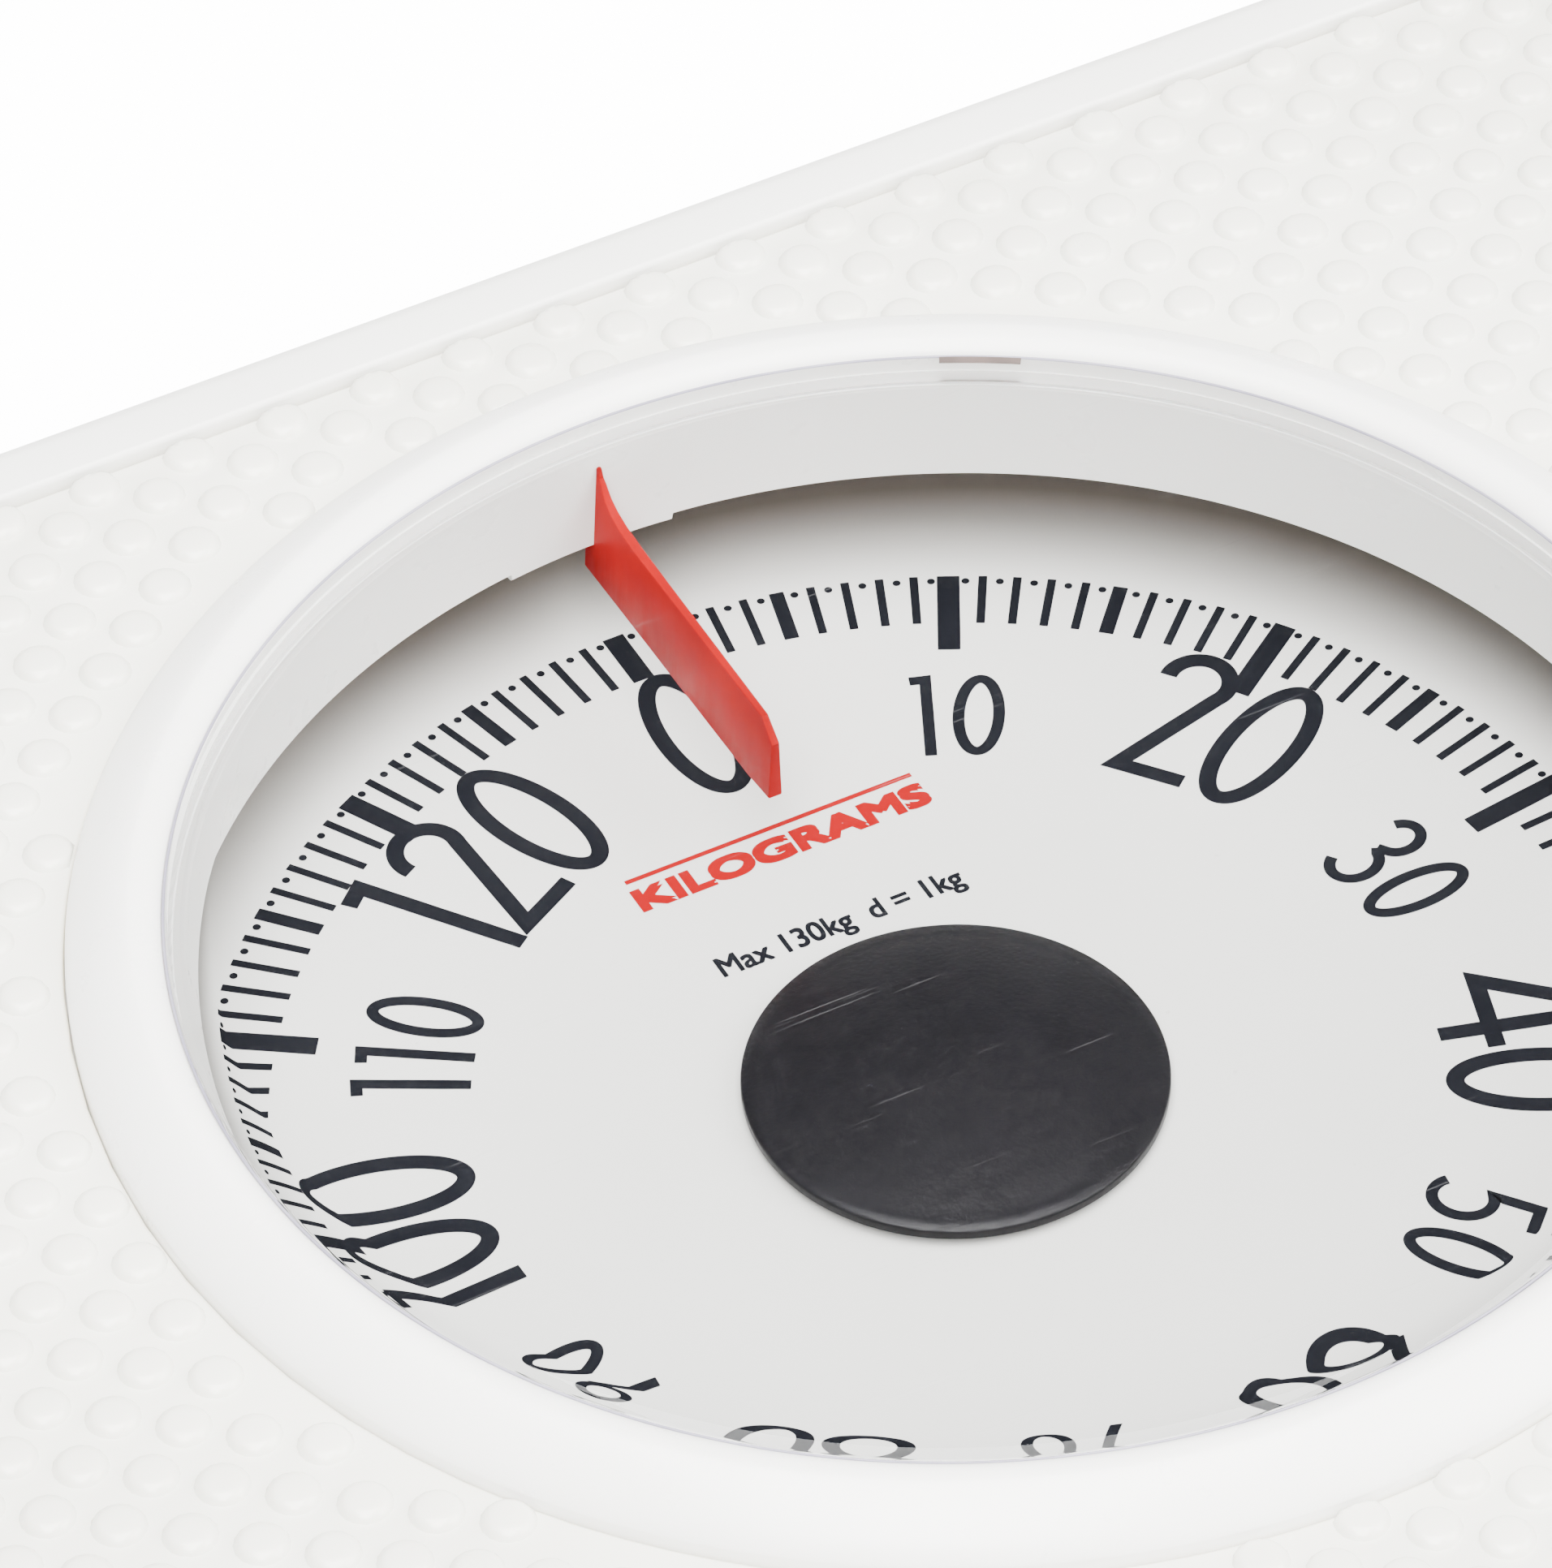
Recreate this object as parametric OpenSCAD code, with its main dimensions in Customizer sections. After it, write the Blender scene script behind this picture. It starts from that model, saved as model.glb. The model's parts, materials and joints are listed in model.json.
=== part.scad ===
// Mechanical dial platform scale. Millimetres, +Z up, the toe end and the dial towards +Y.
// The origin is on the floor, below the middle of the platform.

/* [Platform] */
// Platform width, left to right
platform_w = 280; // [276:2:310]
// Platform length, near edge to far edge
platform_l = 380; // [374:2:400]
// Outer corner radius of the platform cover
platform_corner = 33; // [30:1:36]
// Height of the mat's top above the floor
mat_top = 72; // [72:1:76]
// Width of the painted rim around the mat
rim_w = 6.5; // [5.5:0.5:8]
// Distance from the far edge to the middle of the dial
far_edge_to_dial = 86; // [84:1:90]

/* [Dial] */
// Radius of the visible dial well below the lens
well_r = 61.2; // [59:0.2:62]
// Outer radius of the bezel ring
bezel_r = 69.4; // [69:0.2:71]
// Radius of the turning dial disc
disc_r = 74; // [72:1:76]
// Radius of the black cap in the middle of the dial
cap_r = 17.1; // [14:0.1:20]
// Depth of the dial's printed face below the mat's top
dial_depth = 21.1; // [20.5:0.1:21.5]

/* [Base] */
// Width of the base pan
pan_w = 262; // [258:1:262]
// Length of the base pan
pan_l = 362; // [358:1:362]
// Height of the rubber feet below the pan
foot_h = 5; // [4:0.5:5]

/* [Mechanism] */
// Distance of the lever fulcrums from the middle line
lever_x = 112; // [110:1:114]
// Distance of the lever fulcrums from the cross line
fulcrum_y = 160; // [158:1:160]
// Lever arm from a long lever's fulcrum to its load post
load_arm = 55; // [50:1:58]
// Travel of the spring plate from empty to one full turn of the dial
plate_drop = 10.47; // [10.47]
// Gear module of the rack and the pinion
gear_module = 0.4; // [0.4]
// Number of teeth on the pinion
pinion_teeth = 16; // [16]

/* [Hidden] */
$fn = 96;

// Colours
paint_white = [0.95, 0.95, 0.94];
mat_cream = [0.90, 0.90, 0.87];
steel = [0.70, 0.71, 0.73];
brass = [0.80, 0.66, 0.36];
black = [0.16, 0.16, 0.17];
red = [0.80, 0.16, 0.14];
dial_grey = [0.88, 0.88, 0.87];

// Fits
press = 0.01;
running = 0.06;
gap = 0.3;

// Sheet thicknesses
sheet = 1.2;
bracket_t = 1.5;
lever_t = 3;

// Heights
pan_z = foot_h;
floor_z = pan_z + sheet;
pan_wall_top = 24;
skirt_z = 16;
mat_t = 2.2;
seat_z = mat_top - mat_t;
rim_z = mat_top + 0.2;
rim_round = 5;
lens_z = mat_top - 0.2;
lens_t = 3.2;
crest_z = mat_top + 4.1;
lip_z = mat_top + 2.6;
wall_bottom = mat_top - 11;
dial_z = mat_top - dial_depth;
disc_t = 1;
pan_corner = platform_corner - 9;
dial_y = platform_l / 2 - far_edge_to_dial;

// Gear train: the rack runs along Y on the right of the pinion
pitch_r = gear_module * pinion_teeth / 2;
tooth_pitch = PI * gear_module;
rack_travel = 2 * PI * pitch_r;
rack_z = dial_z - 9.9;
rack_back = pitch_r + 4.5;
tooth_slack = 0.07;

// Bell crank: it swings the same angle each way about its middle position
crank_y = dial_y + 20;
crank_z = rack_z - 24;
crank_arm = rack_z - crank_z;
crank_swing = atan(rack_travel / 2 / crank_arm);
finger_arm = plate_drop / 2 / tan(crank_swing);
crank_x = 10.3;
rack_pin_y = crank_y - rack_travel / 2;
plate_pin_y = crank_y + finger_arm;
plate_pin_z = crank_z + plate_drop / 2;

// Spring plate and main spring
spring_y = dial_y + 59;
plate_z = 25;
plate_t = 2;
spring_r = 9.5;
spring_wire = 3;

// Levers
lever_z = plate_z + plate_t + gap - plate_drop / 2;
tip_x = 15.5;
join_y = -10;
join_arm = join_y + fulcrum_y;
short_length = fulcrum_y - join_y;
short_load_arm = load_arm * short_length / join_arm;
long_bend_y = -95;
short_bend_y = 85;
tip_bend_y = spring_y - 15;
join_x = lever_x - (lever_x - tip_x) * (join_y - long_bend_y) / (tip_bend_y - long_bend_y);
lever_nose = plate_z + plate_t + gap;
long_slope = (39.5 - 31) / (150 + 60);
join_top = 31 + long_slope * (join_y + 60);
long_post_y = load_arm - fulcrum_y;
short_post_y = fulcrum_y - short_load_arm;
long_top_at_post = 28 + 3 * (long_post_y + 173) / 113;
short_top_at_post = 28 + 3 * (173 - short_post_y) / 113;

// Feet, rivets and hooks
foot_places = [for (sx = [-1, 1], sy = [-1, 1]) [sx * (pan_w / 2 - 42), sy * (pan_l / 2 - 24)]];
fulcrum_places = [for (sx = [-1, 1], sy = [-1, 1]) [sx * lever_x, sy * fulcrum_y]];
hook_places = [for (sx = [-1, 1]) [sx * 118, 20]];
rivet_places = concat(
    [for (p = fulcrum_places, d = [-1, 1]) [p.x + d * 8, p.y - sign(p.y) * 10]],
    [for (sx = [-1, 1], dy = [-4, 4]) [sx * 19.5, dial_y + dy]],
    [[0, crank_y - 4], [0, crank_y + 4], [-1, dial_y - 33], [11, dial_y - 33]],
    [[0, dial_y - 82], [10, dial_y - 82]]);

// ---------- shared shapes ----------

// Rounded rectangle made of true arcs
module rounded_rect(w, l, r) {
    square([w - 2 * r, l], center = true);
    square([w, l - 2 * r], center = true);
    for (sx = [-1, 1], sy = [-1, 1])
        translate([sx * (w / 2 - r), sy * (l / 2 - r)]) circle(r);
}

// Sweeps a section around a rounded rectangle; the section's x is the distance from the corner's centre
module around(w, l, r) {
    corner_turns = [[1, 1, 0], [-1, 1, 90], [-1, -1, 180], [1, -1, 270]];
    for (c = corner_turns)
        translate([c[0] * (w / 2 - r), c[1] * (l / 2 - r), 0])
            rotate(c[2]) rotate_extrude(angle = 90) children();
    for (s = [-1, 1]) {
        translate([s * (w / 2 - r), 0, 0]) rotate(90 - 90 * s)
            rotate([90, 0, 0]) linear_extrude(l - 2 * r, center = true) children();
        translate([0, s * (l / 2 - r), 0]) rotate(90 * s)
            rotate([90, 0, 0]) linear_extrude(w - 2 * r, center = true) children();
    }
}

// Round bar along X, centred at the current point
module bar_x(r, length) {
    rotate([0, 90, 0]) cylinder(h = length, r = r, center = true);
}

// Flat strip between two points in plan, with round ends
module strip(a, b, width) {
    d = b - a;
    translate(a) rotate(atan2(d.y, d.x)) translate([0, -width / 2]) square([norm(d), width]);
    translate(a) circle(d = width);
    translate(b) circle(d = width);
}

// Plate cut from an outline in the YZ plane, centred at x
module side_plate(x, thickness) {
    translate([x, 0, 0]) rotate([90, 0, 90]) linear_extrude(thickness, center = true) children();
}

// Tube swept along a path that winds around the Z axis; each ring is set square to the path
function unit(v) = v / norm(v);
function tangent(path, i) = unit(path[min(i + 1, len(path) - 1)] - path[max(i - 1, 0)]);
function ring(p, t, r, sides) =
    let (u = unit(cross(t, [p.x, p.y, 0])), v = cross(t, u))
    [for (k = [0:sides - 1]) p + r * (cos(360 * k / sides) * u + sin(360 * k / sides) * v)];
module tube(path, r, sides) {
    last = len(path) - 1;
    points = [for (i = [0:last]) each ring(path[i], tangent(path, i), r, sides)];
    walls = [for (i = [0:last - 1], k = [0:sides - 1])
        [i * sides + k, i * sides + (k + 1) % sides,
         (i + 1) * sides + (k + 1) % sides, (i + 1) * sides + k]];
    start_face = [for (k = [0:sides - 1]) sides - 1 - k];
    end_face = [for (k = [0:sides - 1]) last * sides + k];
    polyhedron(points, concat(walls, [start_face, end_face]), convexity = 10);
}
// Helix along +Z between two straight tails; the coil starts at z = 0
function helix(r, height, turns, steps, low_tail = 0, high_tail = 0) = concat(
    low_tail > 0 ? [[r, 0, -low_tail]] : [],
    [for (i = [0:turns * steps]) [r * cos(360 * i / steps), r * sin(360 * i / steps),
                                  height * i / (turns * steps)]],
    high_tail > 0 ? [[r, 0, height + high_tail]] : []);

// ---------- base ----------

// Section of the pan's wall, a sheet with a rounded foot
module pan_section() {
    bend = 3;
    translate([pan_corner - sheet, pan_z + bend]) square([sheet, pan_wall_top - pan_z - bend]);
    intersection() {
        translate([pan_corner - bend, pan_z + bend]) difference() {
            circle(bend);
            circle(bend - sheet);
        }
        translate([pan_corner - bend, pan_z]) square(bend);
    }
}

// Pressed stiffening bead along Y, open below
module bead(x, y, length) {
    translate([x, y, 0]) rotate([90, 0, 0]) linear_extrude(length, center = true)
        polygon([[-7, pan_z], [-4.6, pan_z + 3.4], [4.6, pan_z + 3.4], [7, pan_z]]);
}
module bead_hollow(x, y, length) {
    translate([x, y, 0]) rotate([90, 0, 0]) linear_extrude(length - 2 * sheet, center = true)
        polygon([[-5.6, pan_z - 1], [-5.6, pan_z], [-3.8, pan_z + 2.3], [3.8, pan_z + 2.3],
                 [5.6, pan_z], [5.6, pan_z - 1]]);
}

module base_pan() {
    wheel_slot = [34, 8, 8];
    bead_x = 55;
    color(paint_white) difference() {
        union() {
            around(pan_w, pan_l, pan_corner) pan_section();
            translate([0, 0, pan_z]) linear_extrude(sheet)
                rounded_rect(pan_w - 6, pan_l - 6, pan_corner - 3);
            for (sx = [-1, 1]) bead(sx * bead_x, -85, 130);
            bead(0, -85, 130);
        }
        for (sx = [-1, 0, 1]) bead_hollow(sx * bead_x, -85, 130);
        for (p = foot_places) translate([p.x, p.y, 0]) cylinder(h = 20, r = 4 + press);
        for (p = rivet_places) translate([p.x, p.y, 0]) cylinder(h = 20, r = 1.8 + press);
        translate([0, dial_y, 0]) cylinder(h = 20, r = 3 + press);
        translate([0, spring_y, 0]) cylinder(h = 20, r = 5 + press);
        for (p = hook_places) translate([p.x, p.y, 0]) cylinder(h = 20, r = 1.5 + press);
        translate([0, pan_l / 2, floor_z + 0.4 + wheel_slot.z / 2]) cube(wheel_slot, center = true);
    }
}

module rubber_feet() {
    color(black) for (p = foot_places) translate([p.x, p.y, 0]) {
        rotate_extrude() polygon([[0, 0], [10.5, 0], [11.5, 1], [12, pan_z], [0, pan_z]]);
        cylinder(h = floor_z + 2, r = 4);
        translate([0, 0, floor_z]) cylinder(h = 2, r = 5.5);
    }
}

// Two cheeks with open seats that carry a lever's pivot pin
module fulcrum_bracket() {
    cheek_x = 4;
    for (s = [-1, 1]) side_plate(s * cheek_x, 2) difference() {
        polygon([[-11, floor_z], [11, floor_z], [6.5, lever_z + 5], [-6.5, lever_z + 5]]);
        translate([0, lever_z]) circle(2.5 + running);
        translate([-2.5 - running, lever_z]) square([5 + 2 * running, 9]);
    }
    translate([-3, -11, floor_z]) cube([6, 22, bracket_t]);
}

module fulcrum_brackets() {
    color(steel) for (p = fulcrum_places) difference() {
        translate([p.x, p.y, 0]) {
            fulcrum_bracket();
            translate([-12, -sign(p.y) * 10 - 5, floor_z]) cube([24, 10, bracket_t]);
        }
        for (d = [-1, 1]) translate([p.x + d * 8, p.y - sign(p.y) * 10, 0]) cylinder(h = 20, r = 1.8 + press);
    }
}

module base_rivets() {
    color(steel) for (p = rivet_places) translate([p.x, p.y, 0]) {
        translate([0, 0, pan_z - 0.5]) cylinder(h = sheet + bracket_t + 1, r = 1.8 - press);
        translate([0, 0, pan_z - 0.9]) cylinder(h = 0.9, r = 3);
        translate([0, 0, floor_z + bracket_t]) rotate_extrude()
            polygon([[0, 0], [3.2, 0], [2.6, 0.9], [1.4, 1.3], [0, 1.4]]);
    }
}

module crank_bracket() {
    ear_x = 3;
    color(steel) difference() {
        union() {
            for (s = [-1, 1]) side_plate(crank_x + s * ear_x, 2)
                polygon([[crank_y - 7, floor_z], [crank_y + 7, floor_z],
                         [crank_y + 4, crank_z + 5], [crank_y - 4, crank_z + 5]]);
            translate([-4, crank_y - 7, floor_z]) cube([crank_x + 8, 14, bracket_t]);
        }
        translate([crank_x, crank_y, crank_z]) bar_x(2 + press, 20);
        for (d = [-4, 4]) translate([0, crank_y + d, 0]) cylinder(h = 20, r = 1.8 + press);
    }
}

module crank_pin() {
    color(steel) translate([crank_x, crank_y, crank_z]) {
        bar_x(2, 9.6);
        translate([5.3, 0, 0]) bar_x(2.8, 1);
    }
}

// Bridge over the rack; it carries the upper bush and a tab behind the rack
module dial_bridge() {
    top_z = rack_z + 3.5;
    half = 15;
    color(steel) difference() {
        translate([0, dial_y, 0]) {
            for (s = [-1, 1]) {
                translate([s * half - bracket_t / 2, -7, floor_z])
                    cube([bracket_t, 14, top_z - floor_z + bracket_t]);
                translate([s * 18.5 - 5, -7, floor_z]) cube([10, 14, bracket_t]);
            }
            translate([-half, -7, top_z]) cube([2 * half, 14, bracket_t]);
            translate([rack_back + gap, -5, rack_z - 2.5]) cube([1, 8, 6.5]);
        }
        translate([0, dial_y, 0]) cylinder(h = 60, r = 3.5 + press);
        for (s = [-1, 1], d = [-4, 4]) translate([s * 19.5, dial_y + d, 0]) cylinder(h = 20, r = 1.8 + press);
    }
}

module upper_bush() {
    top_z = rack_z + 3.5;
    color(brass) translate([0, dial_y, 0]) difference() {
        union() {
            translate([0, 0, top_z - 0.6]) cylinder(h = bracket_t + 0.6, r = 3.5);
            translate([0, 0, top_z + bracket_t]) cylinder(h = 0.8, r = 5);
        }
        cylinder(h = 60, r = 1.5 + running);
    }
}

module step_bearing() {
    color(brass) translate([0, dial_y, 0]) difference() {
        union() {
            translate([0, 0, pan_z - 0.6]) cylinder(h = 4, r = 3);
            translate([0, 0, floor_z]) cylinder(h = 5.8, r = 5);
        }
        translate([0, 0, floor_z + 1.8]) cylinder(h = 10, r = 1.5 + running);
    }
}

// Upright plate with a window for the rack's tail
module rack_guide() {
    guide_y = dial_y - 26;
    color(steel) difference() {
        union() {
            translate([-4, guide_y - 1, floor_z]) cube([18, 2, rack_z + 5 - floor_z]);
            translate([-5, guide_y - 12, floor_z]) cube([20, 13, bracket_t]);
        }
        translate([pitch_r + 0.3, guide_y - 2, rack_z - 1.9]) cube([rack_back - pitch_r, 4, 3.8]);
        for (x = [-1, 11]) translate([x, dial_y - 33, 0]) cylinder(h = 20, r = 1.8 + press);
    }
}

// Post that anchors the rack's return spring
module spring_post() {
    post_y = dial_y - 74;
    color(steel) difference() {
        union() {
            translate([1, post_y - 1, floor_z]) cube([9, 2, rack_z + 5 - floor_z]);
            translate([-5, post_y - 13, floor_z]) cube([20, 14, bracket_t]);
        }
        translate([(pitch_r + rack_back) / 2, post_y, rack_z]) rotate([90, 0, 0])
            cylinder(h = 6, r = 1.3, center = true);
        for (x = [0, 10]) translate([x, dial_y - 82, 0]) cylinder(h = 20, r = 1.8 + press);
    }
}

module screw_bush() {
    color(black) translate([0, spring_y, 0]) difference() {
        union() {
            translate([0, 0, pan_z - 0.8]) cylinder(h = 3, r = 5);
            translate([0, 0, floor_z]) cylinder(h = 0.8, r = 8);
        }
        translate([0, 0, pan_z]) cylinder(h = 6, r = 3 + running);
    }
}

module main_spring() {
    low = plate_z + plate_t + spring_wire / 2 + 0.1;
    color(steel) translate([0, spring_y, low]) tube(helix(spring_r, 12.6, 4, 18), spring_wire / 2, 8);
}

// Coil along Y with a straight tail at each end
module return_spring() {
    x = (pitch_r + rack_back) / 2;
    color(steel) translate([x, dial_y - 70, rack_z]) rotate([-90, 0, 0])
        tube(helix(2.2, 14, 12, 10, 2.9, 1.9), 0.35, 5);
}

// Springs that keep the platform on the base when the scale is lifted
module hold_down_springs() {
    coil_z = 28;
    coil_h = 12;
    top_z = seat_z - sheet - bracket_t - 0.2;
    color(steel) for (p = hook_places) translate([p.x, p.y, coil_z]) rotate(p.x > 0 ? 180 : 0)
        tube(helix(3.5, coil_h, 8, 10, coil_z - floor_z - 9, top_z - coil_z - coil_h), 0.5, 5);
}

module pan_hooks() {
    color(steel) for (p = hook_places) translate([p.x, p.y, 0]) {
        translate([0, 0, pan_z - 0.8]) cylinder(h = 0.8, r = 3);
        translate([0, 0, pan_z - 0.1]) cylinder(h = floor_z - pan_z + 8, r = 1.5);
        translate([p.x > 0 ? -4.3 : 0, -1.5, floor_z + 7]) cube([4.3, 3, 1.6]);
    }
}

// ---------- platform ----------

// Section of the cover's skirt, rounded top edge and step down to the mat
module cover_section() {
    r = platform_corner;
    difference() {
        union() {
            translate([r - rim_w, skirt_z]) square([rim_w, rim_z - rim_round - skirt_z]);
            translate([r - rim_w, rim_z - rim_round]) square([rim_w - rim_round, rim_round]);
            translate([r - rim_round, rim_z - rim_round]) intersection() {
                circle(rim_round);
                square(rim_round);
            }
        }
        translate([r - rim_w - 1, skirt_z - 1])
            square([rim_w + 1 - sheet, rim_z - rim_round - skirt_z + 1]);
        translate([r - rim_w - 1, skirt_z - 1])
            square([rim_w + 1 - rim_round, seat_z - sheet - skirt_z + 1]);
        translate([r - rim_round, rim_z - rim_round]) intersection() {
            circle(rim_round - sheet);
            square(rim_round);
        }
    }
}

module platform_cover() {
    plate_edge = 2 * (rim_w - 0.2);
    color(paint_white) {
        around(platform_w, platform_l, platform_corner) cover_section();
        translate([0, 0, seat_z - sheet]) linear_extrude(sheet) difference() {
            rounded_rect(platform_w - plate_edge, platform_l - plate_edge, platform_corner - rim_w + 0.2);
            translate([0, dial_y]) circle(bezel_r - 3.4);
        }
    }
}

module platform_mat() {
    edge = rim_w + gap;
    color(mat_cream) translate([0, 0, seat_z]) linear_extrude(mat_t) difference() {
        rounded_rect(platform_w - 2 * edge, platform_l - 2 * edge, platform_corner - edge);
        translate([0, dial_y]) circle(bezel_r + 0.4);
    }
}

// Section of the bezel ring: two elliptical flanks that meet in the crest, and the well's wall
function flank(x, z, width, height, from, to) =
    [for (i = [0:8]) let (t = from + (to - from) * i / 8) [x + width * sin(t), z + height * cos(t)]];
module bezel_section() {
    crest_r = well_r + 3;
    lens_r = well_r + 0.55;
    polygon(concat(
        [[well_r, wall_bottom], [well_r, lens_z], [lens_r, lens_z]],
        flank(crest_r, lip_z, lens_r - crest_r, crest_z - lip_z, 90, 0),
        flank(crest_r, mat_top, bezel_r - crest_r, crest_z - mat_top, 10, 90),
        [[bezel_r, seat_z], [bezel_r - 4, seat_z], [bezel_r - 4, seat_z - 3.5],
         [well_r + 2.6, seat_z - 5], [well_r + 2.6, wall_bottom]]));
}

module bezel_ring() {
    clip_z = seat_z - sheet - 0.2;
    color(paint_white) translate([0, dial_y, 0]) difference() {
        union() {
            rotate_extrude($fn = 180) bezel_section();
            for (a = [30, 150, 270]) rotate(a - 9) rotate_extrude(angle = 18)
                polygon([[bezel_r - 4.2, clip_z], [bezel_r - 2.6, clip_z], [bezel_r - 4.2, clip_z - 2.1]]);
            rotate(84) rotate_extrude(angle = 14)
                translate([well_r + 0.15, wall_bottom - 1.5]) square([2.3, 2]);
        }
        translate([-1, well_r - 2, wall_bottom - 4]) cube([2, 7, seat_z - 0.3 - wall_bottom + 4]);
    }
}

// Clear window, thick at its rim: a rounded shoulder above and a curled edge below
module lens() {
    shoulder = 2;
    r = well_r + 0.45;
    pane_z = lens_t - 1.8;
    curl_r = well_r - 0.1;
    curl_w = 5;
    curl_h = 3.6;
    color([0.85, 0.88, 0.92, 0.4]) translate([0, dial_y, lens_z]) rotate_extrude($fn = 180) {
        polygon(concat(
            [[0, lens_t], [0, pane_z]],
            flank(curl_r - curl_w, pane_z - curl_h, curl_w, curl_h, 0, 75),
            [[curl_r, pane_z - curl_h + curl_h * cos(75)], [curl_r, 0], [r, 0],
             [r, lens_t - shoulder], [r - shoulder, lens_t - shoulder], [r - shoulder, lens_t]]));
        translate([r - shoulder, lens_t - shoulder]) intersection() {
            circle(shoulder);
            square(shoulder);
        }
    }
}

// Fin that hangs from the well's wall, with a foot behind the wall
module pointer() {
    fin_t = 1.9;
    root = dial_y + well_r;
    low = dial_z + 6.6;
    high = dial_z + 14.5;
    color(red) {
        side_plate(0, fin_t) polygon([
            [dial_y + 30.6, low], [root + 3.6, low], [root + 3.6, lens_z - 4], [root - 0.3, seat_z - 0.6],
            [root - 1, high + 2.2], [root - 2.6, high + 0.8], [root - 6, high],
            [dial_y + 32, high], [dial_y + 30.2, high - 1.8]]);
        translate([-5, root + 2.6 + press, low + 0.5]) cube([10, 1.4, 6]);
    }
}

module channel(side) {
    x = side * lever_x;
    top_z = seat_z - sheet;
    color(steel) difference() {
        translate([x - 10, -150, top_z - 10]) cube([20, 300, 10]);
        translate([x - 10 + bracket_t, -151, top_z - 11]) cube([20 - 2 * bracket_t, 302, 11 - bracket_t]);
    }
}
module channel_left() {
    channel(-1);
}
module channel_right() {
    channel(1);
}

// Post with a forked foot that straddles a lever and bears on it with a round nose
module load_post(top_of_lever) {
    nose_r = 3;
    fork = lever_t / 2 + 0.5;
    top_z = seat_z - sheet - bracket_t;
    difference() {
        translate([-4.5, -7, top_of_lever - 4]) cube([9, 14, top_z - top_of_lever + 4]);
        translate([-fork, -8, top_of_lever - 5]) cube([2 * fork, 16, 5 + 2 * nose_r]);
    }
    translate([0, 0, top_of_lever + gap + nose_r]) bar_x(nose_r, 8);
}
module load_posts() {
    color(steel) for (side = [-1, 1]) {
        translate([side * lever_x, long_post_y, 0]) load_post(long_top_at_post);
        translate([side * lever_x, short_post_y, 0]) load_post(short_top_at_post);
    }
}

// ---------- dial ----------

module dial_disc() {
    color(dial_grey) translate([0, dial_y, dial_z - disc_t]) difference() {
        cylinder(h = disc_t, r = disc_r, $fn = 180);
        translate([0, 0, -1]) cylinder(h = 4, r = 3 + press);
    }
}

module dial_hub() {
    top_z = dial_z - disc_t;
    color(black) translate([0, dial_y, 0]) difference() {
        union() {
            translate([0, 0, top_z - 1.4]) cylinder(h = 1.4, r = 14);
            translate([0, 0, top_z - 2.5]) cylinder(h = 2.5, r = 6);
        }
        translate([0, 0, top_z - 3]) cylinder(h = 4, r = 1.5 + press);
        translate([0, 0, top_z - 1.5]) cylinder(h = 4, r = 3 + press);
    }
}

// Low dome on a smaller foot, over a spigot
module hub_cap() {
    foot_h = 0.7;
    edge_h = 0.9;
    rise = 1.6;
    dome_r = (cap_r * cap_r + rise * rise) / (2 * rise);
    color(black) translate([0, dial_y, dial_z]) {
        translate([0, 0, foot_h]) intersection() {
            cylinder(h = edge_h + rise, r = cap_r);
            translate([0, 0, edge_h + rise - dome_r]) sphere(dome_r, $fn = 180);
        }
        cylinder(h = foot_h + 0.1, r = cap_r - 1.3);
        translate([0, 0, -disc_t - 1.2]) cylinder(h = disc_t + 1.3, r = 3);
    }
}

module dial_shaft() {
    low = floor_z + 2;
    high = dial_z - disc_t - 1.6;
    color(steel) translate([0, dial_y, 0]) rotate_extrude()
        polygon([[0, low], [0.7, low], [1.5, low + 0.8], [1.5, high], [0, high]]);
}

// Involute pinion, a tooth pointing to +X at rest
base_r = pitch_r * cos(20);
tip_r = pitch_r + gear_module;
root_r = pitch_r - gear_module;
function involute(r) = let (q = sqrt(pow(max(r, base_r) / base_r, 2) - 1)) q * 180 / PI - atan(q);
half_tooth = (tooth_pitch / 2 - tooth_slack) / 2 / pitch_r * 180 / PI;
function tooth_half_angle(r) = half_tooth + involute(pitch_r) - involute(r);
function polar(r, a) = [r * cos(a), r * sin(a)];
flank_radii = [for (i = [0:5]) i == 0 ? root_r : base_r + (tip_r - base_r) * (i - 1) / 4];
module pinion() {
    outline = [for (k = [0:pinion_teeth - 1]) let (c = 360 * k / pinion_teeth) each concat(
        [for (i = [0:5]) polar(flank_radii[i], c - tooth_half_angle(flank_radii[i]))],
        [for (i = [5:-1:0]) polar(flank_radii[i], c + tooth_half_angle(flank_radii[i]))])];
    color(brass) translate([0, dial_y, rack_z - 2.5]) linear_extrude(5) difference() {
        polygon(outline);
        circle(1.5 + press);
    }
}

// ---------- rack and crank ----------

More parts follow.
